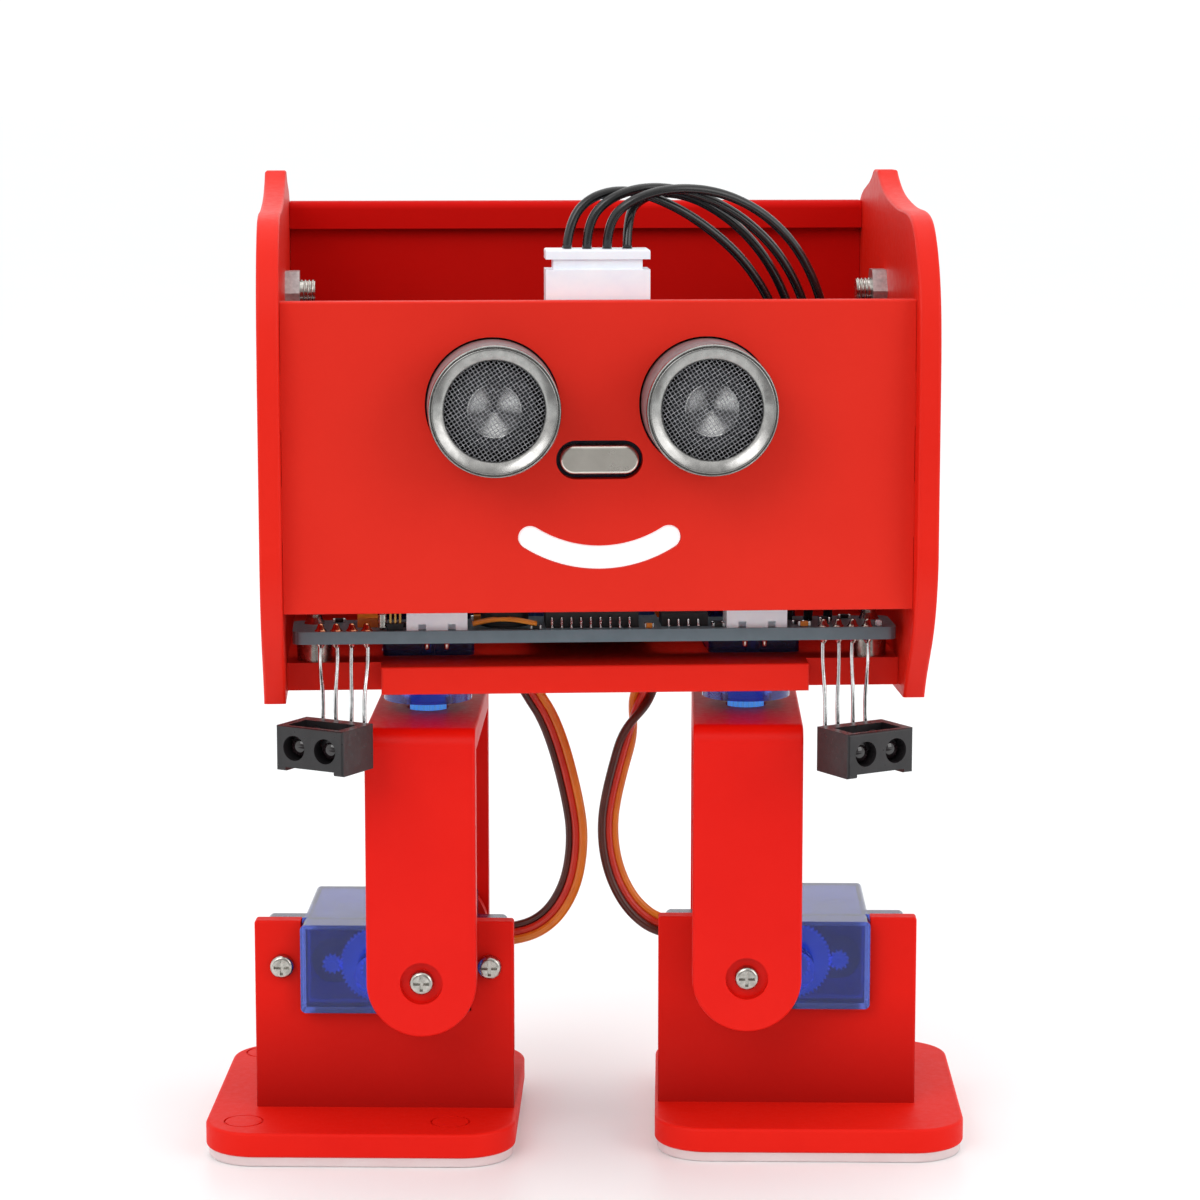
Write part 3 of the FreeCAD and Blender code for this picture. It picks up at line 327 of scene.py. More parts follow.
def cone_material_painted_fans(side, cx, cz):
    """Turned aluminium: radial anisotropy for its concentric cutting marks, and three fans of light painted into its
    colour by angle, painted highlights with painted shade between them.
    """
    m = Mat("cone_aluminium_painted_fans_" + side)
    sock(m.bsdf, "Metallic", 1.0)
    f = m.noise(6.0, 3.0, 0.6)
    xyz = m.n.new("ShaderNodeSeparateXYZ")
    m.l.new(m.vec, xyz.inputs["Vector"])

    def calc(op, a, b):
        k = m.n.new("ShaderNodeMath")
        k.operation = op
        for i, v in enumerate((a, b)):
            if isinstance(v, (int, float)):
                k.inputs[i].default_value = v
            elif v is not None:
                m.l.new(v, k.inputs[i])
        return k.outputs[0]

    turn = calc("ARCTAN2", calc("SUBTRACT", xyz.outputs["Z"], cz), calc("SUBTRACT", xyz.outputs["X"], cx))
    # painted highlights: three bright fans by angle round the centre, with dark grey painted shade between them
    painted_fan_mask = m.remap(calc("SINE", calc("MULTIPLY", turn, 3.0), None), -0.55, 0.9, 0.0, 1.0)
    painted_fan_light = m.mix(m.remap(f, 0.3, 0.7, 0.0, 1.0), srgb(228, 228, 226), srgb(252, 252, 250))
    m.color(m.mix(painted_fan_mask, srgb(92, 92, 94), painted_fan_light))
    m.rough(m.noise(3.0, 3.0), 0.3, 0.7, 0.2, 0.28)
    m.bump(f, 0.3, 0.002)
    tg = m.n.new("ShaderNodeTangent")
    tg.direction_type = "RADIAL"
    tg.axis = "Y"
    m.l.new(tg.outputs["Tangent"], m.bsdf.inputs["Tangent"])
    sock(m.bsdf, "Anisotropic", 0.85)
    return m.m


CONE_PAINTED_FANS = {-1: cone_material_painted_fans("left", -13.4 + SHIFT_X, 101.1), 1: cone_material_painted_fans("right", 13.4 + SHIFT_X, 101.1)}


def felt_material():
    m = Mat("transducer_felt")
    f = m.noise(2.6, 5.0, 0.8)
    v = m.voronoi(3.0)
    c = m.mix(m.remap(f, 0.38, 0.62, 0.0, 1.0), srgb(26, 27, 30), srgb(84, 85, 90))
    m.color(m.mix(m.remap(v, 0.0, 0.5, 0.0, 0.5), c, srgb(52, 53, 56)))
    m.rough(f, 0.3, 0.7, 0.8, 0.95)
    m.bump(f, 0.9, 0.12)
    return m.m


FELT = felt_material()
MESH_WIRE = metal("mesh_wire_steel", srgb(128, 128, 132), srgb(178, 178, 182), (0.22, 0.34), 2.0, 0.004)
BACKING = plastic("transducer_backing", srgb(12, 12, 13), srgb(26, 26, 28), (0.6, 0.8), grain=2.0,
                  grain_h=0.02, mottled=0.4)
GOLD = metal("gold_plate", srgb(222, 164, 82), srgb(244, 196, 118), (0.16, 0.28), 1.4, 0.006)
SOLDER = metal("solder_bead", srgb(176, 160, 150), srgb(222, 206, 196), (0.12, 0.24), 0.9, 0.02)
COPPER = metal("tinted_solder", srgb(206, 120, 84), srgb(236, 168, 128), (0.14, 0.24), 0.9, 0.02)
CHIP = plastic("chip_epoxy", srgb(22, 22, 24), srgb(36, 36, 38), (0.45, 0.6), grain=3.4, grain_h=0.01,
               mottled=0.6)
ORANGE_FLAT = plastic("flat_cable_orange", srgb(214, 120, 24), srgb(236, 146, 44), (0.28, 0.4), grain=1.4,
                      grain_h=0.02, mottled=0.4)
CAP_TOP = metal("capacitor_can", srgb(170, 172, 176), srgb(206, 208, 212), (0.24, 0.34), 1.0, 0.004)
BATTERY = plastic("battery_sleeve", srgb(34, 60, 92), srgb(44, 74, 108), (0.24, 0.34), grain=1.0,
                  grain_h=0.008, mottled=0.2, coat=0.3)


def wire_mat(name, lo, hi):
    return plastic(name, lo, hi, (0.28, 0.4), grain=1.2, grain_h=0.02, mottled=0.25, coat=0.25,
                   coat_rough=0.18, sss=0.04)


BROWN_W = wire_mat("lead_brown", srgb(74, 34, 24), srgb(96, 46, 32))
RED_W = wire_mat("lead_red", srgb(206, 40, 22), srgb(226, 56, 30))
ORANGE_W = wire_mat("lead_orange", srgb(228, 120, 20), srgb(246, 146, 36))

ASSIGN = {
    "side_panel_left": RED_SIDE, "side_panel_right": RED_SIDE,
    "front_panel": RED_SHELL, "back_panel": RED_BACK_PAINTED_SHADE, "bottom_plate": RED_SIDE,
    "smile_insert": SMILE_PAINTED_GLOW, "sensor_board": SENSOR_BOARD, "transducer_cans": CAN,
    "transducer_meshes": MESH_WIRE, "transducer_cones": CONE_PAINTED_FANS[-1], "crystal_can": CRYSTAL,
    "sensor_plug": WHITE, "main_board": BOARD, "board_standoffs": SCREW,
    "board_sockets": WHITE, "board_chips": CHIP, "controller_board": CONTROL_BOARD,
    "ir_sensor_left": IR, "ir_sensor_right": IR, "ir_leads": LEAD_STEEL,
    "hip_servo_case_left": SERVO, "hip_servo_case_right": SERVO, "hip_motors": MOTOR,
    "hip_flange_screws": SCREW, "panel_screws": SCREW, "panel_nuts": NUT,
    "battery_holder": BLACK, "battery_cells": BATTERY, "switch_body": BLACK, "switch_slider": BLACK,
}
for sd in ("left", "right"):
    ASSIGN.update({
        "leg_" + sd: RED_LEG, "hip_output_gear_" + sd: GEAR_PAINTED_GLOW, "ankle_output_gear_" + sd: GEAR_PAINTED_GLOW,
        "horn_screws_" + sd: SCREW, "foot_" + sd: RED_FOOT, "foot_pad_" + sd: PAD,
        "ankle_servo_case_" + sd: SERVO, "ankle_motor_" + sd: MOTOR,
        "ankle_idler_gear_" + sd: GEAR_PAINTED_GLOW, "ankle_motor_pinion_" + sd: GEAR_PAINTED_GLOW,
        "flange_screws_" + sd: SCREW,
    })
for name, mat in ASSIGN.items():
    me = NODES[name].data
    me.materials.clear()
    me.materials.append(mat)


# =====================================================================
# mesh helpers
# =====================================================================
class Build:
    """Gathers parts into one mesh. Everything is given in design mm."""

    def __init__(self):
        self.v, self.f, self.m, self.s = [], [], [], []
        self.mats = []

    def slot(self, mat):
        if mat not in self.mats:
            self.mats.append(mat)
        return self.mats.index(mat)

    def add(self, verts, faces, mat, smooth=True):
        o, k = len(self.v), self.slot(mat)
        self.v += [tuple(x) for x in verts]
        for fc in faces:
            self.f.append([i + o for i in fc])
            self.m.append(k)
            self.s.append(smooth)

    def box(self, lo, hi, mat, bevel=0.15, seg=2, rot=None, pivot=None):
        bm = bmesh.new()
        bmesh.ops.create_cube(bm, size=1.0)
        lo, hi = Vector(lo), Vector(hi)
        c, d = (lo + hi) / 2, hi - lo
        for v in bm.verts:
            v.co = Vector((c.x + v.co.x * d.x, c.y + v.co.y * d.y, c.z + v.co.z * d.z))
        if bevel > 0:
            bmesh.ops.bevel(bm, geom=list(bm.edges), offset=bevel, segments=seg, profile=0.5,
                            affect="EDGES")
        if rot is not None:
            pv = Vector(pivot) if pivot else c
            for v in bm.verts:
                v.co = pv + rot @ (v.co - pv)
        bm.verts.index_update()
        self.add([v.co[:] for v in bm.verts], [[v.index for v in f.verts] for f in bm.faces], mat,
                 False)
        bm.free()

    def lathe(self, prof, origin, axis, mat, seg=96, close=True, start=None):
        """prof: (radius, height) pairs; a closed ring of them when close."""
        w = Vector(axis).normalized()
        u = w.orthogonal().normalized() if start is None else Vector(start)
        v = w.cross(u)
        o = Vector(origin)
        verts, faces, rings = [], [], []
        for r, h in prof:
            if r < 1e-6:
                rings.append([len(verts)])
                verts.append((o + w * h)[:])
            else:
                ring = []
                for k in range(seg):
                    a = 2 * math.pi * k / seg
                    ring.append(len(verts))
                    verts.append((o + w * h + u * (r * math.cos(a)) + v * (r * math.sin(a)))[:])
                rings.append(ring)
        pairs = list(zip(rings, rings[1:]))
        if close:
            pairs.append((rings[-1], rings[0]))
        for a, b in pairs:
            for k in range(seg):
                q = [a[k % len(a)], a[(k + 1) % seg if len(a) > 1 else 0],
                     b[(k + 1) % seg if len(b) > 1 else 0], b[k % len(b)]]
                q = [x for i, x in enumerate(q) if x not in q[:i]]
                if len(q) > 2:
                    faces.append(q)
        self.add(verts, faces, mat, True)

    def tube(self, pts, radius, mat, sides=10, caps=True, radii=None):
        verts, faces = [], []
        pts = [Vector(p) for p in pts]
        t = [(pts[min(i + 1, len(pts) - 1)] - pts[max(i - 1, 0)]).normalized() for i in range(len(pts))]
        u = t[0].orthogonal().normalized()
        for i, p in enumerate(pts):
            u = (u - t[i] * u.dot(t[i])).normalized()
            w = t[i].cross(u)
            r = radii[i] if radii else radius
            for k in range(sides):
                a = 2 * math.pi * k / sides
                verts.append((p + u * (r * math.cos(a)) + w * (r * math.sin(a)))[:])
        for i in range(len(pts) - 1):
            for k in range(sides):
                a, b = i * sides + k, i * sides + (k + 1) % sides
                faces.append([a, b, b + sides, a + sides])
        if caps:
            faces.append(list(range(sides))[::-1])
            n = (len(pts) - 1) * sides
            faces.append([n + k for k in range(sides)])
        self.add(verts, faces, mat, True)

    def done(self, name, body=None, model=False):
        me = bpy.data.meshes.new(name)
        vs = self.v if model else [P(*p)[:] for p in self.v]
        me.from_pydata(vs, [], self.f)
        for mt in self.mats:
            me.materials.append(mt)
        me.polygons.foreach_set("material_index", self.m)
        me.polygons.foreach_set("use_smooth", self.s)
        me.update()
        bm = bmesh.new()
        bm.from_mesh(me)
        bmesh.ops.recalc_face_normals(bm, faces=bm.faces)
        bm.to_mesh(me)
        bm.free()
        ob = bpy.data.objects.new(name, me)
        SC.collection.objects.link(ob)
        if body:
            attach(ob, body)
        return ob


def nurbs_points(name, points, resolution=10):
    """Points of the smooth line whose control points are the route's."""
    cu = bpy.data.curves.new(name, "CURVE")
    cu.dimensions = "3D"
    cu.resolution_u = resolution
    sp = cu.splines.new("NURBS")
    sp.points.add(len(points) - 1)
    for k, p in enumerate(points):
        sp.points[k].co = (p.x, p.y, p.z, 1.0)
    sp.order_u = 3
    sp.use_endpoint_u = True
    ob = bpy.data.objects.new(name, cu)
    SC.collection.objects.link(ob)
    bpy.context.view_layer.update()
    me = bpy.data.meshes.new_from_object(ob)
    pts = [v.co.copy() for v in me.vertices]
    bpy.data.objects.remove(ob)
    bpy.data.meshes.remove(me)
    return pts


def run_length(pts):
    return sum((b - a).length for a, b in zip(pts, pts[1:]))


# =====================================================================
# free cords
# =====================================================================
SENSOR_WIRES = [
    [(-3.81, -22.2, 120.2), (-3.4, -22.1, 123.6), (-0.9, -21.7, 126.7), (3.9, -20.9, 127.7),
     (9.8, -19.8, 125.6), (15.4, -18.3, 121.9), (20.0, -16.7, 117.4), (23.5, -15.3, 111.6),
     (24.9, -14.2, 103.6), (24.6, -13.4, 93.6), (23.4, -12.9, 82.6), (22.98, -12.6, 71.35)],
    [(-1.27, -22.2, 120.2), (-1.2, -22.5, 123.4), (1.4, -22.7, 126.6), (6.6, -21.8, 128.1),
     (13.2, -20.0, 127.0), (19.4, -18.2, 123.6), (24.6, -16.7, 118.2), (27.8, -15.6, 111.0),
     (29.2, -14.8, 100.0), (29.0, -14.3, 86.0), (28.06, -13.9, 71.35)],
    [(1.27, -22.2, 120.2), (1.35, -23.0, 123.4), (3.8, -23.9, 126.2), (9.2, -23.2, 127.9),
     (15.8, -21.4, 127.3), (21.8, -19.3, 124.3), (26.6, -17.6, 119.2), (29.7, -16.2, 112.0),
     (31.2, -15.2, 100.6), (31.2, -14.8, 86.4), (30.6, -14.4, 71.35)],
    [(3.81, -22.2, 120.2), (3.9, -21.5, 123.1), (4.9, -19.1, 125.9), (8.8, -17.0, 127.3),
     (14.0, -16.4, 125.9), (19.4, -15.8, 122.0), (23.6, -15.0, 116.4), (26.4, -14.4, 109.0),
     (27.3, -13.9, 98.6), (26.6, -13.5, 85.4), (25.52, -13.2, 71.35)],
]
for i, pts in enumerate(SENSOR_WIRES):
    line = nurbs_points("wire_line_%d" % (i + 1), route(pts), 12)
    b = Build()
    b.tube(line, 0.0006, BLACK_WIRE, 14)
    ob = b.done("sensor_wire_visual_%d" % (i + 1), "torso", model=True)
    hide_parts("sensor_wire_%d" % (i + 1))


def ribbon(name, line, side_dir, mats, pitch, radius, twist=0.0, over=(0.0, 1.0)):
    """Three insulated wires side by side; twist turns them over along part of the run."""
    b = Build()
    n = len(line)
    t = [(line[min(i + 1, n - 1)] - line[max(i - 1, 0)]).normalized() for i in range(n)]
    across = []
    u = Vector(side_dir)
    for i in range(n):
        u = (u - t[i] * u.dot(t[i])).normalized()
        q = min(max((i / (n - 1) - over[0]) / (over[1] - over[0]), 0.0), 1.0)
        across.append(Matrix.Rotation(twist * q * q * (3 - 2 * q), 3, t[i]) @ u)
    for k, mt in enumerate(mats):
        off = (k - 1) * pitch
        b.tube([p + a * off for p, a in zip(line, across)], radius, mt, 14, caps=False)
    return b.done(name, None, model=True)


LEADS = {
    "left": dict(
        lower=[(-14.788, 8.808, 23.9), (-9.5, 8.5, 24.1), (-4.9, 8.7, 26.0), (-1.9, 9.4, 30.4),
               (-0.8, 10.2, 36.0), (-1.1, 11.0, 41.4), (-2.4, 11.9, 46.6)],
        upper=[(-2.4, 11.9, 46.6), (-3.9, 12.9385, 52.6), (-7.6, 12.6, 58.4), (-10.6, 11.6, 64.6),
               (-11.2, 10.7, 71.6), (-11.2, 10.2, 78.6)],
        length=(0.0320, 0.0341), side=(0.0, -0.65, -0.75), twist=0.0),
    "right": dict(
        lower=[(16.248, 9.734, 23.9), (11.0, 9.9, 24.4), (7.0, 10.1, 27.2), (4.4, 10.4, 31.8),
               (3.3, 10.8, 37.2), (3.8, 11.4, 43.0), (5.6, 12.2, 49.0)],
        upper=[(5.6, 12.2, 49.0), (7.2, 12.91, 54.33), (9.6, 12.3, 59.8), (11.0, 11.4, 66.0),
               (11.3, 10.7, 72.6), (11.2, 10.2, 79.6)],
        length=(0.0329, 0.0316), side=(0.0, 0.6, 0.75), twist=2.6),
}
for sd in ("left", "right"):
    q = LEADS[sd]
    lower, upper = q["lower"], q["upper"]
    mats = [BROWN_W, RED_W, ORANGE_W]
    lo_line = nurbs_points("lead_line_lower_" + sd, route(lower), 12)
    up_line = nurbs_points("lead_line_upper_" + sd, route(upper), 12)
    d0 = Vector(q["side"])
    lob = ribbon("servo_lead_ribbon_lower_" + sd, lo_line, d0, mats, 0.0011, 0.00058)
    # carry the same frame across the meeting point
    n = len(lo_line)
    u = d0.copy()
    for i in range(n):
        tt = (lo_line[min(i + 1, n - 1)] - lo_line[max(i - 1, 0)]).normalized()
        u = (u - tt * u.dot(tt)).normalized()
    upb = ribbon("servo_lead_ribbon_upper_" + sd, up_line, u, mats, 0.0011, 0.00058, q["twist"], (0.0, 0.3))
    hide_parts("servo_lead_lower_" + sd)
    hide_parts("servo_lead_upper_" + sd)
    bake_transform(lob)
    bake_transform(upb)

# =====================================================================
# distance sensor: rolled cans, woven screens, felt and turned cones
# =====================================================================
EX, EZ = 13.4, 101.1
Y_BOARD, Y_FRONT = -25.2, -37.5
H = Y_BOARD - Y_FRONT      # 12.3
for s, sd in ((-1, "left"), (1, "right")):
    o = (s * EX, Y_BOARD, EZ)
    ax = (0, -1, 0)
    b = Build()
    outer = [(8.2, 0.0), (8.2, H - 0.55), (8.185, H - 0.34), (8.14, H - 0.17), (8.06, H - 0.05),
             (7.98, H), (7.95, H - 0.05), (7.93, H - 0.3), (7.86, H - 0.34), (7.8, H - 0.3),
             (7.78, H - 0.08), (7.74, H - 0.02), (7.66, H - 0.01), (7.56, H - 0.04), (7.3, H - 0.14),
             (7.0, H - 0.27), (6.7, H - 0.42), (6.45, H - 0.58), (6.28, H - 0.74), (6.2, H - 0.9),
             (6.2, H - 1.05), (7.48, H - 1.06), (7.48, 0.0)]
    b.lathe(outer, o, ax, CAN, 128)
    side = b.slot(CAN_SIDE)
    b.m[:128] = [side] * 128
    can = b.done("transducer_can_" + sd, "torso")
    b = Build()
    b.lathe([(0.0, 3.0), (7.3, 3.0), (7.3, 5.6), (6.9, 5.6), (6.6, 5.2), (0.0, 5.2)], o, ax, BACKING, 64,
            close=False)
    b.lathe([(0.0, 5.3), (5.1, 5.3), (5.2, 5.4), (5.2, 8.7), (5.1, 8.85), (4.6, 8.95), (2.5, 8.95), (0.0, 8.95)],
            o, ax, FELT, 64, close=False)
    b.done("transducer_felt_" + sd, "torso")
    b = Build()
    rim = H - 1.4
    b.lathe([(0.0, rim - 2.05), (0.35, rim - 2.03), (0.5, rim - 1.9), (1.2, rim - 1.42), (2.0, rim - 0.88),
             (2.8, rim - 0.36), (3.2, rim - 0.1), (3.3, rim), (3.36, rim - 0.03), (3.38, rim - 0.12),
             (2.6, rim - 2.0), (1.3, rim - 5.0), (0.0, rim - 5.0)], o, ax, CONE_PAINTED_FANS[s], 96, close=False)
    cone = b.done("transducer_cone_" + sd, "torso")
# both CAD groups are stood for by the left pieces, the right ones are their twins
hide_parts("transducer_cans")
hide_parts("transducer_cones")

first_mesh = None
PITCH, WR, DISC = 0.46, 0.05, 6.42
for s, sd in ((-1, "left"), (1, "right")):
    b = Build()
    h = H - 1.22
    ang = math.radians(33.0)
    e1 = Vector((math.cos(ang), 0, math.sin(ang)))
    e2 = Vector((-math.sin(ang), 0, math.cos(ang)))
    c = Vector((s * EX, Y_BOARD - h, EZ))
    n = int(DISC / PITCH)
    for fam, (ea, eb) in enumerate(((e1, e2), (e2, e1))):
        for i in range(-n, n + 1):
            q = i * PITCH
            half = math.sqrt(max(DISC * DISC - q * q, 0.0))
            if half < 0.3:
                continue
            m = max(1, int(2 * half / (PITCH / 2)))
            pts = []
            for k in range(m + 1):
                x = -half + 2 * half * k / m
                ph = math.cos(math.pi * x / PITCH) * (1 if (i + fam) % 2 else -1)
                pts.append(c + eb * q + ea * x + Vector((0, ph * WR * 0.95, 0)))
            b.tube(pts, WR, MESH_WIRE, 5, caps=False)
    scr = b.done("woven_screen_" + sd, "torso")
    if first_mesh is None:
        first_mesh = scr
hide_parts("transducer_meshes")

# =====================================================================
# infrared sensors: lens domes and a recess lip; leads' solder beads
# =====================================================================
IRS = {
    "left": dict(c=(-34.9, -22.8), b=(0.545, 0.839), z0=54.0, holes=(-35.3, -33.3, -31.3, -29.4)),
    "right": dict(c=(34.6, -22.8), b=(-0.47, 0.883), z0=52.9, holes=(35.2, 33.3, 31.4, 29.5)),
}

for sd in ("left", "right"):
    q = IRS[sd]
    bx, by = q["b"]
    nrm = math.hypot(bx, by)
    bx, by = bx / nrm, by / nrm
    tx, ty = by, -bx
    cx, cy = q["c"]

    def L(x, y, z):
        return (cx + x * tx + y * bx, cy + x * ty + y * by, q["z0"] + z)

    b = Build()
    for dx in (-2.35, 2.35):
        b.lathe([(1.52, 0.0), (1.5, 0.2), (1.36, 0.5), (1.1, 0.8), (0.75, 1.0), (0.38, 1.1), (0.0, 1.13),
                 (0.0, -0.4), (1.52, -0.4)], L(dx, -1.55, 2.95 + 0.1), (-bx, -by, 0), LENS, 40, close=False)
    b.done("ir_lenses_" + sd, "torso")
    b = Build()
    rot = Matrix.Rotation(math.atan2(ty, tx), 3, "Z")
    for dx in (-2.0, 2.0):
        b.tube([L(dx, -2.4, 4.0), L(dx, -0.6, 4.0), L(dx, 1.4, 4.0)], 1.1, IR, 20)
    c0 = L(0.0, -0.5, 4.4)
    b.box((c0[0] - 0.5, c0[1] - 1.9, c0[2] - 0.4), (c0[0] + 0.5, c0[1] + 1.9, c0[2] + 0.35), IR, 0.1, 2, rot)
    c0 = L(0.0, 0.9, 4.4)
    b.box((c0[0] - 3.6, c0[1] - 0.3, c0[2] - 0.4), (c0[0] + 3.6, c0[1] + 0.3, c0[2] + 0.5), IR, 0.1, 2, rot)
    b.done("ir_recess_parts_" + sd, "torso")

# =====================================================================
# main board: beads, pin tails, chip legs, small parts
# =====================================================================
ZT, ZB = 71.35, 69.75
b = Build()
for sd in ("left", "right"):
    for x in IRS[sd]["holes"]:
        b.lathe([(0.0, 0.95), (0.3, 0.9), (0.42, 0.62), (0.52, 0.3), (0.72, 0.08), (0.82, 0.0), (0.82, -0.02),
                 (0.0, -0.02)], (x, -19.4, ZT), (0, 0, 1), COPPER if sd == "left" else SOLDER, 24, close=False)
        b.lathe([(0.0, -0.02), (0.78, -0.02), (0.78, 0.0), (0.62, 0.12), (0.4, 0.4), (0.3, 0.6), (0.0, 0.6)],
                (x, -19.4, ZB), (0, 0, -1), SOLDER, 24, close=False)
for cx in (-20.4, 20.8):
    for dx in (-1.27, 1.27):
        b.lathe([(0.0, 0.0), (0.85, 0.0), (0.8, 0.1), (0.5, 0.35), (0.33, 0.7), (0.3, 1.15), (0.22, 1.3),
                 (0.0, 1.35)], (cx + dx, -17.1, ZB), (0, 0, -1), SOLDER, 20, close=False)
b.done("board_solder", "torso")

b = Build()
# the wide chip's legs along its front and back edges
for k in range(9):
    x = -5.6 + 1.25 * k
    for sgn, ye in ((-1, -18.6), (1, -13.2)):
        y0 = ye
        b.tube([(x, y0 - sgn * 0.1, ZT + 1.3), (x, y0 + sgn * 0.25, ZT + 1.25), (x, y0 + sgn * 0.42, ZT + 0.7),
                (x, y0 + sgn * 0.5, ZT + 0.14), (x, y0 + sgn * 0.95, ZT + 0.12)], 0.17, LEAD_STEEL, 8)
for k in range(4):
    x = 9.5 + 1.27 * k
    b.tube([(x, -18.1, ZT + 0.9), (x, -18.5, ZT + 0.85), (x, -18.65, ZT + 0.3), (x, -19.1, ZT + 0.12)], 0.16,
           LEAD_STEEL, 8)
# capacitor: printed sleeve edge and plain top
b.lathe([(0.0, 5.52), (2.3, 5.52), (2.62, 5.48), (2.75, 5.42), (2.72, 5.39), (0.0, 5.39)],
        (-11.6, -15.4, ZT), (0, 0, 1), CAP_TOP, 40, close=False)
b.lathe([(3.1, 0.55), (3.16, 0.5), (3.16, 0.2), (3.1, 0.12), (3.0, 0.12), (3.0, 0.55)],
        (-11.6, -15.4, ZT), (0, 0, 1), CHIP, 40)
# ribbed trimmer screw and three gold pins by the left sensor
b.lathe([(0.0, 2.3)] + [(0.62 if k % 2 else 0.5, 2.2 - 0.2 * k) for k in range(11)] + [(0.0, 0.0)],
        (-27.4, -19.0, ZT), (0, 0, 1), SCREW, 24, close=False)
for k in range(3):
    b.box((-26.5 + 0.62 * k, -19.3, ZT), (-26.2 + 0.62 * k, -19.0, ZT + 2.3), GOLD, 0.05, 1)
b.box((-26.8, -19.6, ZT), (-24.7, -18.6, ZT + 0.9), CHIP, 0.1, 2)
# small fixed flat jumper
pts = []
for k in range(13):
    q = k / 12.0
    pts.append((-15.8 + 8.2 * q, -18.9 + 0.35 * math.sin(q * 5.0), ZT + 0.65 + 0.55 * math.sin(q * math.pi)))
for off in (-0.45, 0.0, 0.45):
    b.tube([(x, y + off * 0.9, z + abs(off) * 0.05) for x, y, z in pts], 0.27, ORANGE_FLAT, 10)
# chip resistors and capacitors, at fixed places
TERM = LEAD_STEEL
for x, y, w, d, h, mt in ((15.9, -18.8, 1.6, 0.8, 0.5, CHIP), (15.9, -17.2, 1.6, 0.8, 0.5, CHIP),
                          (27.0, -18.9, 1.6, 0.8, 0.6, ORANGE_FLAT), (6.9, -19.3, 1.2, 0.7, 0.6, ORANGE_FLAT),
                          (26.4, -17.2, 1.6, 0.8, 0.5, CHIP), (-7.7, -19.4, 1.4, 0.7, 0.5, CHIP),
                          (-24.9, -16.6, 1.6, 0.8, 0.6, CHIP), (29.9, -16.6, 1.4, 1.4, 0.8, CHIP),
                          (36.6, -19.2, 0.9, 0.8, 0.7, WHITE), (-14.9, -12.4, 2.0, 1.2, 0.8, ORANGE_FLAT),
                          (33.0, -12.6, 1.6, 0.8, 0.5, CHIP), (-33.0, -12.2, 1.6, 0.8, 0.5, CHIP)):
    b.box((x - w * 0.32, y - d / 2, ZT + 0.02), (x + w * 0.32, y + d / 2, ZT + h), mt, 0.06, 1)
    for sg in (-1, 1):
        xa, xb = sorted((x + sg * w * 0.3, x + sg * w * 0.52))
        b.box((xa, y - d / 2 - 0.02, ZT), (xb, y + d / 2 + 0.02, ZT + h + 0.02), TERM, 0.07, 1)
b.done("main_board_parts", "torso")

# controller board: pin rows, chip, connector shell
b = Build()
for sx in (-1, 1):
    for k in range(10):
        y = -7.4 + 2.54 * k
        b.box((sx * 7.3 - 0.28, y - 0.28, ZT + 1.15), (sx * 7.3 + 0.28, y + 0.28, ZT + 2.5), GOLD, 0.08, 1)
        b.lathe([(0.85, 0.0), (0.8, 0.08), (0.5, 0.22), (0.4, 0.4), (0.0, 0.4), (0.0, 0.0)],
                (sx * 7.3, y, ZT + 1.18), (0, 0, 1), SOLDER, 18, close=False)
for sg, y in ((-1, 3.0), (1, 10.2)):
    for k in range(8):
        x = -3.0 + 0.86 * k
        b.box((x - 0.14, y + (0.0 if sg > 0 else -0.7), ZT + 1.2), (x + 0.14, y + (0.7 if sg > 0 else 0.0), ZT + 1.55),
              LEAD_STEEL, 0.05, 1)
b.box((-1.5, -4.6, ZT + 1.2), (1.5, -2.0, ZT + 2.6), CAP_TOP, 0.3, 3)
for x in (-4.8, -3.2, 3.4, 5.0):
    b.box((x - 0.4, -0.8, ZT + 1.2), (x + 0.4, 0.8, ZT + 1.7), ORANGE_FLAT if x < 0 else CHIP, 0.06, 1)
b.done("controller_board_parts", "torso")

# distance sensor board, seen from behind and above
b = Build()
YB = -23.6
for x0, x1, z0, z1 in ((-12.6, -8.8, 96.6, 105.4), (-2.6, 2.6, 97.0, 101.4), (8.8, 12.6, 96.6, 105.4)):
    b.box((x0, YB, z0), (x1, YB + 1.35, z1), CHIP, 0.15, 2)
    nleg = int((z1 - z0) / 1.27)
    for k in range(nleg):
        z = z0 + 0.65 + 1.27 * k
        for xe, sg in ((x0, -1), (x1, 1)):
            b.tube([(xe, YB + 0.75, z), (xe + sg * 0.4, YB + 0.7, z), (xe + sg * 0.55, YB + 0.2, z),
                    (xe + sg * 1.0, YB + 0.12, z)], 0.15, LEAD_STEEL, 6)
for k in range(4):
    x = -3.81 + 2.54 * k
    b.lathe([(0.85, 0.0), (0.75, 0.12), (0.42, 0.4), (0.32, 0.8), (0.0, 0.85), (0.0, 0.0)],
            (x, YB, 107.6), (0, 1, 0), SOLDER, 18, close=False)
for x, z in ((-16.0, 94.0), (-18.4, 97.0), (16.0, 94.0), (18.4, 97.0), (-5.4, 93.6), (5.4, 93.6), (-17.0, 108.4),
             (17.0, 108.4)):
    b.box((x - 0.8, YB, z - 0.4), (x + 0.8, YB + 0.5, z + 0.4), CHIP, 0.06, 1)
    for sg in (-1, 1):
        xa, xb = sorted((x + sg * 0.6, x + sg * 0.95))
        b.box((xa, YB, z - 0.42), (xb, YB + 0.53, z + 0.42), LEAD_STEEL, 0.06, 1)
b.done("sensor_board_parts", "torso")

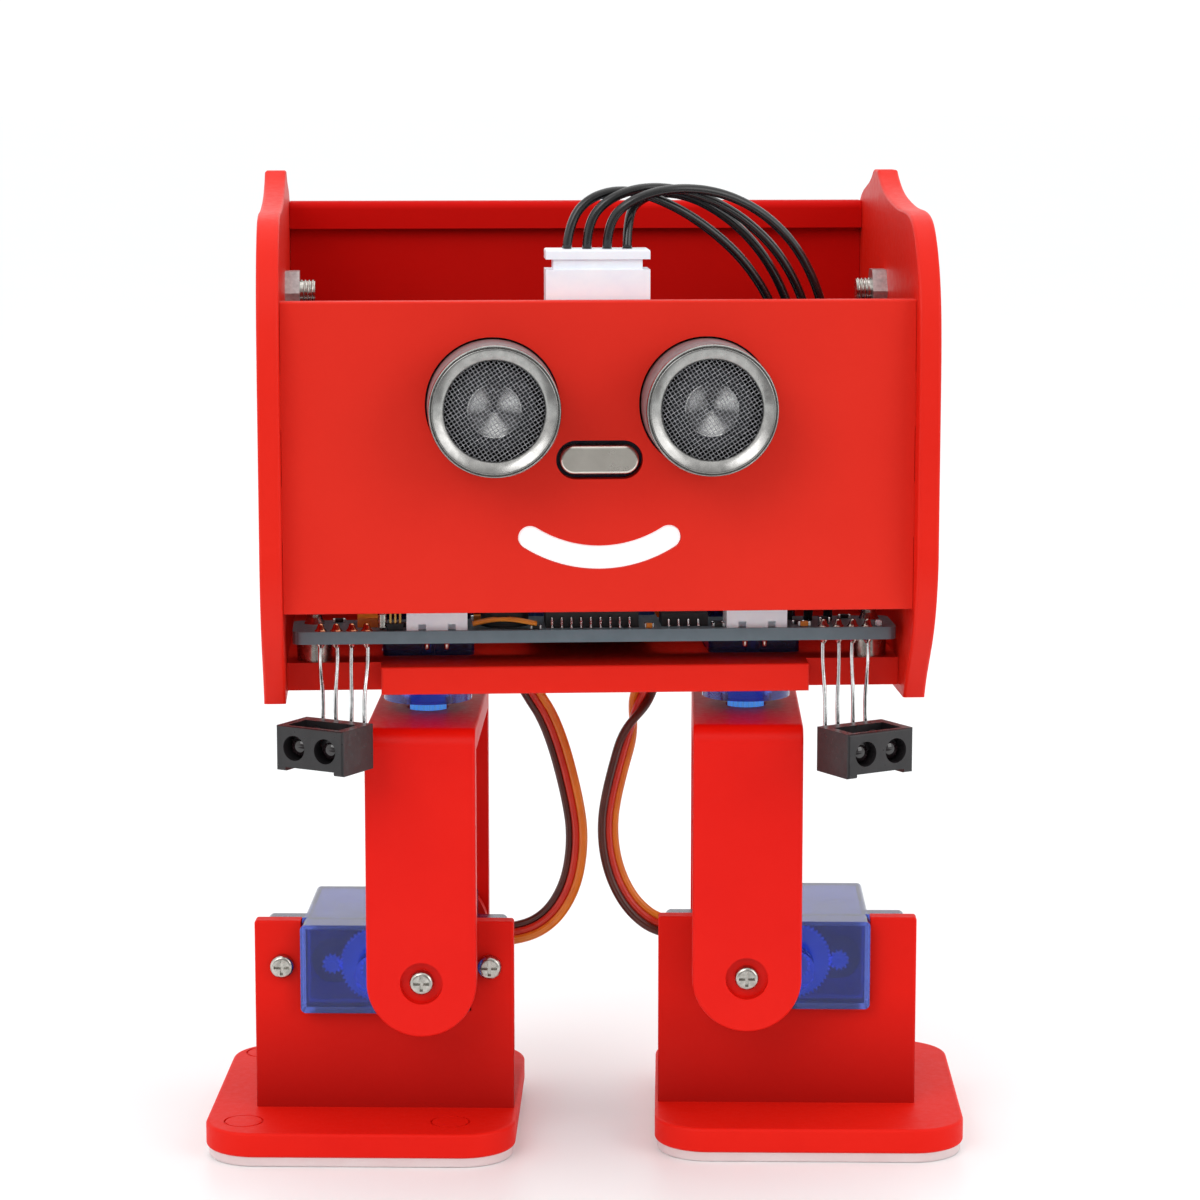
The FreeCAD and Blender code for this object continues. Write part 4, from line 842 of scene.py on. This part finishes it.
# threads on the panel screws, inside the body
b = Build()
for s in (-1, 1):
    for y, z in ((1.4, 113.4), (-21.0, 94.5), (21.0, 94.5)):
        pts = []
        turns, x0 = 3.3, 36.05
        for k in range(int(turns * 18) + 1):
            a = 2 * math.pi * k / 18
            pts.append((s * (x0 + 0.5 * k / 18), y + 1.46 * math.cos(a), z + 1.46 * math.sin(a)))
        b.tube(pts, 0.17, SCREW, 6)
b.done("panel_screw_threads", "torso")

# battery terminals: coil springs and contact plates
b = Build()
for y in (1.8 + 6.7, 26.6 - 6.7):
    for z in (86.0 + 5.9, 109.8 - 5.9):
        pts = []
        for k in range(4 * 20 + 1):
            a = 2 * math.pi * k / 20
            r = 3.4 - 1.6 * k / 80
            pts.append((-23.15 + 0.85 * k / 80, y + r * math.cos(a), z + r * math.sin(a)))
        b.tube(pts, 0.18, SCREW, 6)
        b.box((22.55, y - 3.0, z - 3.0), (23.35, y + 3.0, z + 3.0), SCREW, 0.2, 2)
b.done("battery_contacts", "torso")


# =====================================================================
# second materials on some CAD meshes, by where a face lies
# =====================================================================
def paint(node, mats, pick):
    """pick(centre in design mm, normal) gives a material index, or 0."""
    me = NODES[node].data
    for mt in mats:
        me.materials.append(mt)
    for p in me.polygons:
        c = p.center
        p.material_index = pick((c.x * 1000 - SHIFT_X, c.y * 1000 - SHIFT_Y, c.z * 1000), p.normal)


SERVO_BOARD = board_material("servo_board_mask", srgb(20, 120, 96), srgb(40, 150, 120), srgb(60, 170, 130))
for s, sd in ((-1, "left"), (1, "right")):
    def servo_pick(c, n, hx=s * 21.4):
        # the leg's turn is taken out first
        rx, ry = c[0] - hx, c[1]
        x = hx + rx * math.cos(TURN) + ry * math.sin(TURN)
        y = -rx * math.sin(TURN) + ry * math.cos(TURN)
        if 8.35 < y < 9.45:
            return 1
        return 2 if 7.1 < y <= 8.35 and abs(abs(x) - 23.95) < 2.2 and abs(c[2] - 24.1) < 2.3 else 0

    paint("ankle_motor_" + sd, [SERVO_BOARD, CHIP], servo_pick)
# the foot's upright brackets, above the plate, get the red with painted shade
for sd in ("left", "right"):
    paint("foot_" + sd, [RED_BRACKET_PAINTED_SHADE], lambda c, n: 1 if c[2] > 4.75 else 0)
paint("hip_motors", [SERVO_BOARD, CHIP],
      lambda c, n: (1 if 80.65 < c[2] < 81.75 else (2 if 79.4 < c[2] <= 80.65 and 0.4 < c[1] < 4.7
                                                     and abs(abs(c[0]) - 21.4) < 2.3 else 0)))
paint("board_sockets", [SCREW],
      lambda c, n: 1 if abs(c[1] + 17.1) < 0.36 and min(abs(c[0] - x) for x in (-21.67, -19.13, 19.53, 22.07)) < 0.34
      and c[2] > 72.2 else 0)
paint("controller_board", [CHIP, CAP_TOP],
      lambda c, n: 2 if c[2] > 72.6 and c[1] > 13.2 else (1 if c[2] > 72.6 and 2.9 < c[1] < 10.3 else 0))
paint("battery_cells", [SCREW, CHIP],
      lambda c, n: 1 if c[0] > 21.35 or c[0] < -22.15 else (2 if c[0] > 19.0 else 0))
paint("board_chips", [ORANGE_FLAT], lambda c, n: 1 if c[0] < -27.0 else 0)

# smooth shading on rounded CAD meshes, sharp where the form turns
for nm, ob in NODES.items():
    me = ob.data
    if hasattr(me, "shade_smooth"):
        me.shade_smooth()
    me.set_sharp_from_angle(angle=math.radians(26.0))

# =====================================================================
# studio
# =====================================================================
fm = bpy.data.meshes.new("studio_floor")
R = 9.0
fm.from_pydata([(-R, -R, 0), (R, -R, 0), (R, R, 0), (-R, R, 0)], [], [[0, 1, 2, 3]])
floor = bpy.data.objects.new("studio_floor", fm)
SC.collection.objects.link(floor)
m = Mat("studio_floor_paint")
m.color(m.mix(m.noise(0.004, 2.0), (0.925, 0.955, 0.96, 1), (0.93, 0.96, 0.965, 1)))
m.rough(m.noise(0.02, 2.0), 0.3, 0.7, 0.35, 0.45)
sock(m.bsdf, "Specular IOR Level", 0.3)
fm.materials.append(m.m)

# a grey card lying in front, below the camera's view: it darkens what the metal reflects
gm = bpy.data.meshes.new("studio_card")
gm.from_pydata([(-0.5, -1.7, 0.002), (0.5, -1.7, 0.002), (0.34, -0.17, 0.002), (-0.34, -0.17, 0.002)], [],
               [[0, 1, 2, 3]])
card = bpy.data.objects.new("studio_card", gm)
SC.collection.objects.link(card)
m = Mat("studio_card_paper")
m.color(m.mix(m.noise(0.02, 2.0), (0.2, 0.2, 0.205, 1), (0.24, 0.24, 0.24, 1)))
m.rough(m.noise(0.05, 2.0), 0.3, 0.7, 0.7, 0.85)
gm.materials.append(m.m)
card.visible_camera = False          # views from behind would show it

w = bpy.data.worlds.new("studio_white")
SC.world = w
w.use_nodes = True
wt = w.node_tree
bg = wt.nodes["Background"]
# white all round, with a dimmer patch of studio in front of the object
wc = wt.nodes.new("ShaderNodeTexCoord")
wx = wt.nodes.new("ShaderNodeSeparateXYZ")
wt.links.new(wc.outputs["Generated"], wx.inputs["Vector"])
wr = wt.nodes.new("ShaderNodeMapRange")
wr.interpolation_type = "SMOOTHSTEP"
wr.inputs["From Min"].default_value = -0.5
wr.inputs["From Max"].default_value = -0.97
wr.inputs["To Min"].default_value = 1.1
wr.inputs["To Max"].default_value = 0.4
wt.links.new(wx.outputs["Y"], wr.inputs["Value"])
bg.inputs[0].default_value = (1.0, 1.0, 1.0, 1.0)
wt.links.new(wr.outputs["Result"], bg.inputs[1])


def area(name, loc, target, size, power, color=(1, 1, 1), size_y=None):
    ld = bpy.data.lights.new(name, "AREA")
    ld.energy = power
    ld.size = size
    ld.color = color
    if size_y:
        ld.shape = "RECTANGLE"
        ld.size_y = size_y
    o = bpy.data.objects.new(name, ld)
    SC.collection.objects.link(o)
    o.location = loc
    o.rotation_euler = (Vector(target) - Vector(loc)).to_track_quat("-Z", "Y").to_euler()
    return o


area("key_soft", (-0.55, -0.95, 0.75), (0, 0, 0.07), 0.7, 4.2)
area("fill_soft", (0.75, -0.75, 0.45), (0, 0, 0.06), 0.6, 2.2)
area("top_soft", (0.05, 0.15, 1.0), (0, 0, 0.05), 0.6, 0.8)
